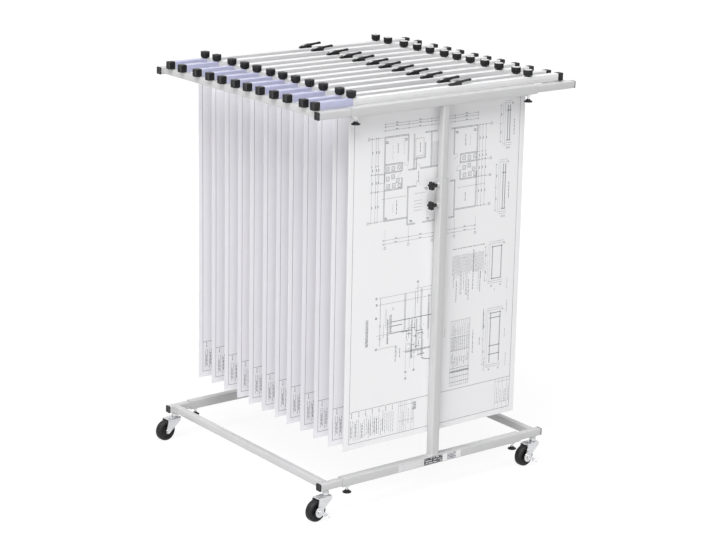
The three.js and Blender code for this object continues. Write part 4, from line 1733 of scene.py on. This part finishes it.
@dataclass
class Drawing:
    """A made-up building plan as strokes on a sheet: u runs from its left edge, v from its lower edge."""

    width: float
    length: float
    margin: float
    border_gap: float = 17.0
    strip_top: float = 107.0
    seed: int = 11
    strokes: list = field(default_factory=list)
    rng: random.Random = field(init=False)

    def __post_init__(self) -> None:
        """Starts the source of the words' lengths."""
        self.rng = random.Random(self.seed)

    def line(self, u0: float, v0: float, u1: float, v1: float, pen: Pen) -> None:
        """Draws a straight line."""
        self.strokes.append(((u0, v0), (u1, v1), pen.value))

    def across(self, pen: Pen, *rules: Point) -> None:
        """Draws level lines, each given by its height and its two ends."""
        for v, u0, u1 in rules:
            self.line(u0, v, u1, v, pen)

    def upright(self, pen: Pen, *rules: Point) -> None:
        """Draws upright lines, each given by its place and its two ends."""
        for u, v0, v1 in rules:
            self.line(u, v0, u, v1, pen)

    def path(self, points: Sequence[Point], pen: Pen) -> None:
        """Draws lines from point to point."""
        for start, end in zip(points, points[1:]):
            self.line(*start, *end, pen)

    def frame(self, u0: float, v0: float, u1: float, v1: float, pen: Pen = Pen.LIGHT) -> None:
        """Draws a rectangle."""
        self.path([(u0, v0), (u1, v0), (u1, v1), (u0, v1), (u0, v0)], pen)

    def bubbles(self, pen: Pen, radius: float, *places: Point) -> None:
        """Draws small circles, as at the ends of grid lines."""
        for place in places:
            self.path(arc(place, radius, 0, 360, 12), pen)

    def walls(self, level: Sequence[Point], standing: Sequence[Point], gap: float = 2.6) -> None:
        """Draws walls as pairs of lines.

        Args:
            level: height and two ends of each wall across the sheet.
            standing: place and two ends of each wall up the sheet.
            gap: how far apart the two lines are.
        """
        for half in (-gap / 2, gap / 2):
            self.across(Pen.MEDIUM, *[(v + half, u0, u1) for v, u0, u1 in level])
            self.upright(Pen.MEDIUM, *[(u + half, v0, v1) for u, v0, v1 in standing])

    def door(self, u: float, v: float, start: float, radius: float = 13.0) -> None:
        """Draws an open door and its swing.

        Args:
            u: the hinge's place across the sheet.
            v: the hinge's place up the sheet.
            start: the angle at which the swing begins, in degrees.
            radius: the door's width.
        """
        swing = arc((u, v), radius, start, start + 90, 6)
        self.path(swing, Pen.FINE)
        self.line(u, v, *swing[-1], Pen.LIGHT)

    def words(self, pen: Pen, *rows: Point) -> None:
        """Marks lines of writing that run up the sheet by short dashes, with no letters in them.

        Args:
            pen: how heavy they are.
            rows: each line's place, where it starts and how far it runs.
        """
        for u, v, length in rows:
            at = v
            while at < v + length:
                word = min(self.rng.uniform(3.5, 11.0), v + length - at)
                self.line(u, at, u, at + word, pen)
                at += word + self.rng.uniform(1.6, 2.6)

    def measure(self, ticks: Sequence[float], level: float, upright: bool) -> None:
        """Draws a dimension line with a tick and a figure's dash at each place.

        Args:
            ticks: the measured places, in order.
            level: where the line runs.
            upright: whether it runs along v.
        """
        def stroke(pen: Pen, *points: Point) -> None:
            """Draws between points given along the line and off it."""
            self.path([(level + off, at) if upright else (at, level + off) for at, off in points], pen)

        stroke(Pen.LIGHT, (ticks[0] - 3, 0), (ticks[-1] + 3, 0))
        for tick in ticks:
            stroke(Pen.MEDIUM, (tick - 1.6, -1.6), (tick + 1.6, 1.6))
            stroke(Pen.FINE, (tick, -3), (tick, 3))
        for start, end in zip(ticks, ticks[1:]):
            middle = (start + end) / 2
            stroke(Pen.HEAVY, (middle - 3.5, 2.4), (middle + 3.5, 2.4))

    def border(self) -> None:
        """Draws the sheet's border and the title strip along its foot."""
        left, right, strip = self.margin, self.width - self.margin, self.strip_top
        foot, head = self.border_gap, self.length - self.border_gap
        self.frame(left, foot, right, head, Pen.MEDIUM)
        self.across(Pen.MEDIUM, (strip, left, right))
        self.across(Pen.LIGHT, (95, 187, 241), (50, 187, 241), (98, 538, right), (36, 538, right))
        columns = (187, 194, 200, 207, 214, 232, 241, 538, 552, 566, 582)
        self.upright(Pen.FINE, *[(u, foot, strip) for u in columns])
        self.words(Pen.HEAVY, *[(u, 90, 14) for u in (26, 51, 74, 97, 120, 143, 166)])
        for u in range(22, 176, 7):
            self.words(Pen.MEDIUM, (u, self.rng.uniform(23, 34), self.rng.uniform(44, 62)))
        for u in (25, 40, 62, 84, 91, 104, 112, 133):
            self.words(Pen.HEAVY, (u, self.rng.uniform(28, 40), self.rng.uniform(30, 44)))
        for u in (204, 222, 236, 545, 559, 573, 578, 588):
            self.words(Pen.MEDIUM, (u, self.rng.uniform(32, 40), self.rng.uniform(30, 46)))
        self.words(Pen.HEAVY, *[(u, 76, 22) for u in (238, 241, 244, 247)])

    def floor_plan(self) -> None:
        """Draws the floor plan in the upper half: rooms on both sides of a hall with a stair."""
        left, right, foot, head, porch = 120.0, 440.0, 626.0, 852.0, 606.0
        self.walls(
            [
                (head, left, 199), (head, 256, 298), (head, 346, right), (784, 221, 258), (778, left, 181),
                (778, 381, right), (756, left, 178), (756, 200, 228), (756, 241, 305), (755, 381, right),
                (709, left, 181), (709, 197, 229), (708, 346, 365), (708, 381, right), (foot, left, 200),
                (foot, 365, right), (porch, 200, 228), (porch, 253, 298), (porch, 344, 365),
            ],
            [
                (left, foot, head), (right, foot, head), (179, 709, 737), (179, 756, 778), (199, 780, head),
                (200, porch, 709), (219, 756, head), (227, 756, 784), (257, 784, 825), (278, 755, head),
                (358, 780, head), (363, porch, 708), (381, 708, 734), (381, 752, 778),
            ],
        )
        doors = ((179, 737, 90), (199, 780, 180), (228, 756, 0), (381, 734, 90), (358, 780, 270), (229, 709, 0))
        for u, v, start in doors:
            self.door(u, v, start)
        self.upright(Pen.LIGHT, *[(282 + 4.0 * step, 757, 824) for step in range(7)])
        self.across(Pen.LIGHT, (688, 224, 266), (686, 112, 196), (686, 374, 470))
        self.across(Pen.LIGHT, *[(668 - 9 * step, 222, 250) for step in range(4)])
        fixtures = ((5, 761), (24, 760), (44, 762), (6, 734), (24, 738), (40, 726), (8, 713), (27, 714), (46, 712))
        for u, v in [(room + du, v) for room in (left, 384) for du, v in fixtures]:
            self.frame(u, v, u + 10, v + 11, Pen.MEDIUM)
            self.bubbles(Pen.LIGHT, 3.0, (u + 5, v + 5))
        self.frame(101, 730, left, 753)
        self.frame(224, 790, 252, 838)
        marks = ((126, 840), (190, 842), (126, 634), (366, 842), (430, 842), (212, 616), (262, 700), (270, 616))
        for u, v in marks:
            self.across(Pen.HEAVY, (v, u - 5, u + 5), (v - 4, u - 3, u + 6))
        self.words(Pen.HEAVY, (164, 806, 26), (163, 640, 38), (236, 720, 28), (398, 800, 32))
        self.words(Pen.HEAVY, (402, 645, 26), (240, 800, 28))
        self.words(Pen.LIGHT, (147, 790, 40), (186, 800, 36), (150, 646, 24), (415, 800, 30), (268, 620, 60))
        for level in (870, 880, 887):
            self.measure((left, 199, 277, 358, right), level, False)
        for level in (572, 562):
            self.measure((left, 206, 288, 366, right), level, False)
        for level in (77, 90, 98, 447, 458, 470):
            self.measure((foot, 709, 756, 778, head), level, True)
        self.across(Pen.LIGHT, *[(v, u, u + 46) for v in (foot, 708, 755, head) for u in (72, 442)])
        grid = (126, 206, 288, 366, 442)
        self.upright(Pen.FINE, *[(u, 556, 600) for u in grid])
        self.bubbles(Pen.MEDIUM, 3.4, *[(u, 551) for u in grid])
        self.bubbles(Pen.MEDIUM, 3.4, (67, head), (67, foot), (490, foot), (490, 708), (490, 755), (490, head))

    def cross_section(self) -> None:
        """Draws the section through the building in the lower left, with its footings."""
        self.across(Pen.LIGHT, (414, 111, 290), (423, 234, 300), (395, 111, 300))
        self.across(Pen.LIGHT, (309, 104, 218), (271, 108, 170), (250, 196, 300))
        self.across(Pen.HEAVY, (341, 152, 300), (329, 152, 192), (309, 152, 200))
        self.upright(Pen.MEDIUM, (116, 278, 416), (136, 330, 380), (216, 286, 342))
        self.upright(Pen.MEDIUM, (236, 304, 414), (244, 380, 436), (284, 272, 376))
        self.walls([], [(201, 307, 414), (257, 304, 421), (150, 307, 362), (283, 300, 400)], 3.4)
        self.upright(Pen.FINE, (207, 196, 306), (222, 200, 270), (236, 195, 270), (207, 176, 186))
        level = [(307, 190, 228), (247, 205, 292), (233, 250, 272)]
        self.walls(level, [(226, 226, 338), (242, 250, 336), (262, 226, 300)], 2.2)
        self.across(Pen.HEAVY, (298, 208, 224), (313, 222, 238), (302, 240, 264), (294, 246, 266), (258, 238, 248))
        self.path([(262, 222), (276, 216), (298, 213)], Pen.HEAVY)
        loose = random.Random(self.seed + 1)
        for _ in range(46):
            u, v, size = loose.uniform(206, 266), loose.uniform(224, 322), loose.uniform(3, 9)
            turned = loose.random() < 0.5
            self.line(u, v, u + size * turned, v + size * (not turned), Pen.MEDIUM)
        self.bubbles(Pen.HEAVY, 2.4, (102, 414), (103, 396), (102, 359), (104, 271))
        self.bubbles(Pen.HEAVY, 2.4, (243, 441), (208, 190), (236, 191), (208, 171))
        self.bubbles(Pen.LIGHT, 3.4, (160, 378), (116, 336), (116, 300))
        self.words(Pen.HEAVY, (68.5, 284, 75), (71.5, 284, 75), (74.5, 284, 75), (141, 281, 70))
        self.words(Pen.HEAVY, (143.5, 281, 70), (154, 312, 50), (171, 226, 46), (186, 236, 26))
        self.words(Pen.MEDIUM, (128, 300, 40), (176, 240, 30), (226, 226, 40))
        self.words(Pen.MEDIUM, (250, 230, 50), (266, 216, 60), (344, 266, 26))

    def side_details(self) -> None:
        """Draws the beam and column details up the right edge."""
        for near, far, low, high, bars in (
            (548, 556, 797, 897, (882, 798)),
            (538, 546, 604, 733, (708, 606)),
            (509, 542, 407, 503, (500, 408)),
            (511, 546, 161, 310, (307, 293, 211, 186)),
        ):
            self.walls([], [(near, low, high), (far, low, high)], 1.6)
            self.across(Pen.HEAVY, *[(v, near - 4, far + 3) for v in bars])
            self.across(Pen.LIGHT, *[(v, near - 14, far + 8) for v in (low - 12, low - 6, high + 6, high + 12)])
            self.upright(Pen.FINE, *[(near - step, low - 8, high + 8) for step in (10, 17)])
            self.measure((low, (low + high) / 2, high), near - 26, True)
            self.bubbles(Pen.MEDIUM, 2.2, (far + 9, high + 4), (near, low - 20), (far, low - 20))
        self.words(Pen.HEAVY, (572, 812, 46), (560, 634, 46), (484, 264, 60), (472, 222, 23), (447, 202, 70))
        self.words(Pen.MEDIUM, (567, 371, 32), (569, 300, 36), (565, 229, 25))
        self.words(Pen.MEDIUM, (572, 143, 39), (491, 140, 39), (521, 372, 8))

    def notes_and_table(self) -> None:
        """Draws the block of notes and the bar schedule."""
        for row in range(28):
            length = 50 + 85 * self.rng.random() ** 3
            self.words(Pen.MEDIUM, (365 + 4.1 * row, 494 - length, length))
        self.words(Pen.HEAVY, (440, 389, 114), (380, 361, 60), (424, 361, 60), (466, 378, 60))
        for u in range(364, 476, 9):
            self.across(Pen.HEAVY, (513, u, u + self.rng.uniform(4, 8)))
        self.frame(366, 118, 435, 307)
        self.across(Pen.MEDIUM, *[(v, 366, 435) for v in (258, 220, 168, 143, 128)])
        self.across(Pen.HEAVY, (160, 366, 435), (157, 366, 435))
        for u in (370, 374, 378, 382, 388, 394, 401, 408, 416, 424, 430):
            self.upright(Pen.FINE, (u + 2, 118, 307))
            self.words(Pen.MEDIUM, (u, 222, 34), (u, self.rng.uniform(170, 186), self.rng.uniform(14, 30)))
            self.words(Pen.LIGHT, (u, 264, self.rng.uniform(18, 36)))

    def draw(self) -> list:
        """Draws the whole sheet.

        Returns:
            The strokes, each with its two ends and its width.
        """
        for part in (self.border, self.floor_plan, self.cross_section, self.side_details, self.notes_and_table):
            part()
        return self.strokes


@dataclass(frozen=True)
class Leaf:
    """One leaf of a set of plans: how far it stands off the set's middle, and how it curls."""

    name: str
    offset: float
    spread: float
    thickness: float
    trim: float


@dataclass
class PlanSet(Assembly):
    """The plans in the hangers: two leaves to a set, the front one drawn on."""

    lefts: tuple = (-302, -316, -313, -313, -315, -314, -318, -318, -318, -320, -314, -320)
    width: float = 610.0
    length: float = 960.0
    trim: float = 2.1
    grip: float = 12.0
    swing: float = 8.0
    margin: float = 13.0
    front_margin: float = 18.0
    columns: int = 24
    rows: int = 48
    ink_height: float = 0.09
    longest_stroke: float = 30.0
    leaves: tuple = (
        Leaf("plan_front_leaf", -0.35, -0.9, 0.2, 0.0),
        Leaf("plan_rear_leaves", 0.1, 0.9, 0.7, 1.5),
    )

    def tall(self, index: int) -> float:
        """The length of a set: each is shorter than the one before it."""
        return self.length - index * self.trim

    def depth(self, index: int, leaf: Leaf, u: float, v: float) -> float:
        """How far back a point of a leaf stands from the hanger's middle.

        Args:
            index: the hanger, counted from the front.
            leaf: which leaf.
            u: the place across the sheet.
            v: the place up the sheet.

        Returns:
            The offset along Y in millimetres.
        """
        hanging = self.tall(index) - self.grip
        drop = max(0.0, (hanging - v) / hanging)
        loose = max(0.0, drop - 0.12)
        swing = self.swing * (1 - (1 - drop) ** 2)
        phase = 1.7 * index + 0.4
        ripple = 0.5 * math.sin(9.1 * u / self.width + 2.3 * phase)
        wave = math.sin(math.tau * (1.15 * u / self.width) + phase) + ripple
        lift = 0.6 * math.sin(3.4 * drop + phase)
        sway = 0.9 * math.sin(2.1 * index + 1.0)
        return leaf.offset - swing + leaf.spread * loose**1.5 + loose * (0.9 * wave + lift + sway)

    def spot(self, index: int, leaf: Leaf, u: float, v: float, proud: float = 0.0) -> Vector:
        """Where a point of a leaf is.

        Args:
            index: the hanger, counted from the front.
            leaf: which leaf.
            u: the place across the sheet.
            v: the place up the sheet.
            proud: how far in front of the leaf's middle it lies.

        Returns:
            The place in metres.
        """
        depth = self.depth(index, leaf, u, v) - proud
        foot = self.layout.hanger_foot + self.grip - self.tall(index)
        return Vector((self.lefts[index] + u, self.layout.hanger_y(index) + depth, foot + v)) * MM

    def sheet(self, index: int, leaf: Leaf) -> Object:
        """One leaf as a thin solid that hangs in gentle waves.

        Args:
            index: the hanger, counted from the front.
            leaf: which leaf.

        Returns:
            The leaf.
        """
        Bench.clear()
        bpy.ops.mesh.primitive_grid_add(x_subdivisions=self.columns, y_subdivisions=self.rows, size=1.0)
        piece = bpy.context.object
        for vertex in piece.data.vertices:
            u = (vertex.co.x + 0.5) * self.width
            v = (vertex.co.y + 0.5) * (self.tall(index) - leaf.trim) + leaf.trim
            vertex.co = self.spot(index, leaf, u, v)
        piece.data.update()
        Bench.modify(piece, "SOLIDIFY", thickness=leaf.thickness * MM, offset=0.0, use_even_offset=True)
        return Bench.smooth(piece, 50)

    def ink(self, index: int, leaf: Leaf, strokes: Sequence[Stroke]) -> Object:
        """The drawing on a leaf, as flat strokes that follow its surface.

        Args:
            index: the hanger, counted from the front.
            leaf: the leaf it is drawn on.
            strokes: the drawing.

        Returns:
            The inked lines.
        """
        face = leaf.thickness / 2 + self.ink_height
        corners, faces = [], []
        for start, end, pen in strokes:
            run = Vector(end) - Vector(start)
            if run.length < 1e-6:
                continue
            aside = Vector((-run.y, run.x)).normalized() * pen / 2
            spans = max(1, math.ceil(run.length / self.longest_stroke))
            first = len(corners)
            for i in range(spans + 1):
                middle = Vector(start) + run * i / spans
                corners += [self.spot(index, leaf, u, v, face) for u, v in (middle - aside, middle + aside)]
            faces += [(at, at + 2, at + 3, at + 1) for at in range(first, first + 2 * spans, 2)]
        mesh = bpy.data.meshes.new("ink")
        mesh.from_pydata(corners, [], faces)
        piece = bpy.data.objects.new("ink", mesh)
        bpy.context.collection.objects.link(piece)
        if mesh.polygons[0].normal.y > 0:
            mesh.flip_normals()
        return piece

    def build(self) -> None:
        """Hangs a set of plans in every hanger."""
        front, rear = self.leaves
        for index in range(len(self.layout.stations)):
            number, tall = f"{index + 1:02d}", self.tall(index)
            body, cut_size, hung_from = f"hanger_{number}", (self.width * MM, tall * MM), [f"clamp_bar_{number}"]
            # the front sheet takes the darker paper: painted shade against the stronger light that falls on it
            paper = self.finishes.paper if index else self.finishes.front_paper
            margin = self.margin if index else self.front_margin
            sheet, node = self.sheet(index, front), f"plan_sheet_{number}"
            face = hand_over(sheet, f"{front.name}_{number}", paper, body, node)
            back = hand_over(self.sheet(index, rear), f"{rear.name}_{number}", paper, body)
            drawn = self.ink(index, front, Drawing(self.width, tall, margin).draw())
            lines = hand_over(drawn, f"plan_ink_{number}", self.finishes.ink, body)
            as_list(hung_from)
            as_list(hung_from)


@dataclass
class RailSticker(Assembly):
    """A blank sticker on the front base rail, beside the post's foot."""

    left: float = -130.0
    right: float = 93.0
    half_height: float = 9.6
    thickness: float = 0.2
    sink: float = 0.02
    corner: float = 1.2

    def build(self) -> None:
        """Sticks it on."""
        face, z = -self.layout.rail_y - self.layout.outer / 2, self.layout.base_z
        low = (self.left, face - self.thickness, z - self.half_height)
        piece = Bench.block(low, (self.right, face + self.sink, z + self.half_height))
        Bench.bevel(piece, along(Axis.Y), self.corner, 3)
        hand_over(Bench.smooth(piece), "rail_sticker", self.finishes.sticker, Level.BASE.value)


@dataclass(frozen=True)
class Lamp:
    """A soft square lamp: its name, its place and side in metres, and its power in watts."""

    name: str
    place: tuple
    size: float
    watts: float


@dataclass
class Studio:
    """Floor, light and the camera at the photograph's angle."""

    camera_place: tuple = (-3.4876, -4.5126, 2.1499)
    right: tuple = (0.7941, -0.6074, 0.0239)
    up: tuple = (0.1461, 0.2287, 0.9626)
    focal_px: float = 2065.2
    picture_px: float = 716.0
    sensor_mm: float = 36.0
    far_clip: float = 200.0
    white: tuple = (1.0, 1.0, 1.0, 1.0)
    sky: tuple = (0.975, 0.98, 1.0, 1.0)
    ambient: float = 0.18
    floor_half: float = 40.0
    floor_grey: tuple = (0.80, 0.80, 0.80, 1.0)
    floor_glow: float = 1.06
    white_near: float = 0.86
    shadow_reach: tuple = (0.8, 1.7)
    target: tuple = (0, 0, 0.6)
    lamps: tuple = (
        Lamp("top_softbox", (-3.2, -2.4, 8.0), 6.0, 940.0),
        Lamp("side_softbox", (-5.4, -3.0, 1.2), 3.4, 100.0),
        Lamp("front_softbox", (2.4, -5.6, 3.0), 1.4, 10.0),
    )

    def camera(self) -> None:
        """Places the camera."""
        data = bpy.data.cameras.new("camera")
        data.sensor_width = self.sensor_mm
        data.lens = self.focal_px / self.picture_px * self.sensor_mm
        data.clip_end = self.far_clip
        camera = bpy.data.objects.new("camera", data)
        bpy.context.collection.objects.link(camera)
        right = Vector(self.right).normalized()
        back = right.cross(Vector(self.up)).normalized()
        turn = Matrix((right, back.cross(right), back)).transposed().to_4x4()
        camera.matrix_world = Matrix.Translation(Vector(self.camera_place)) @ turn
        bpy.context.scene.camera = camera

    def world(self) -> None:
        """Makes a white surround that lights the object softly."""
        world = bpy.data.worlds.new("surround")
        bpy.context.scene.world = world
        nodes = Nodes(world)
        light = nodes.node("Background", {}, {"Color": self.sky, "Strength": self.ambient})
        white = nodes.node("Background", {}, {"Color": self.white})
        nodes.choose(nodes.shown(), light, white, "OutputWorld")

    def floor(self) -> None:
        """Lays a pale floor that shows white and keeps a faint shadow under the object."""
        Bench.clear()
        bpy.ops.mesh.primitive_plane_add(size=2 * self.floor_half, location=(0, 0, 0))
        floor = bpy.context.object
        floor.name = "floor"
        material = bpy.data.materials.new("pale_floor")
        nodes = Nodes(material)
        matt = nodes.node("BsdfDiffuse", {}, {"Color": self.floor_grey})
        glow = nodes.node("Emission", {}, {"Strength": self.floor_glow})
        place = nodes.node("TexCoord").outputs["Object"]
        away = nodes.node("VectorMath", {"operation": "LENGTH"}, {0: place})
        far = Value(nodes, away.outputs["Value"]).ramp(*self.shadow_reach)
        share = self.white_near + (1.0 - self.white_near) * far
        nodes.choose(nodes.shown() * share, matt, glow, "OutputMaterial")
        floor.data.materials.append(material)

    def hang(self, lamp: Lamp) -> None:
        """Hangs a lamp that looks at the object.

        Args:
            lamp: the lamp.
        """
        data = bpy.data.lights.new(lamp.name, "AREA")
        data.size = lamp.size
        data.energy = lamp.watts
        light = bpy.data.objects.new(lamp.name, data)
        bpy.context.collection.objects.link(light)
        light.location = lamp.place
        way = Vector(self.target) - Vector(lamp.place)
        light.rotation_euler = way.to_track_quat("-Z", "Y").to_euler()

    def build(self) -> None:
        """Sets the stage."""
        self.camera()
        self.world()
        self.floor()
        for lamp in self.lamps:
            self.hang(lamp)
        bpy.context.scene.view_settings.view_transform = "Standard"


def main() -> None:
    """Builds every sub-assembly in order."""
    logging.basicConfig(level=logging.INFO, format="%(name)s: %(message)s")
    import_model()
    layout, finishes = Layout(), Finishes()
    Studio().build()
    for assembly in (TubeFrame, LockScrews, Caster, Hanger, PlanSet, RailSticker):
        assembly(layout, finishes).build()
    Bench.clear()


if __name__ == "__main__":
    main()
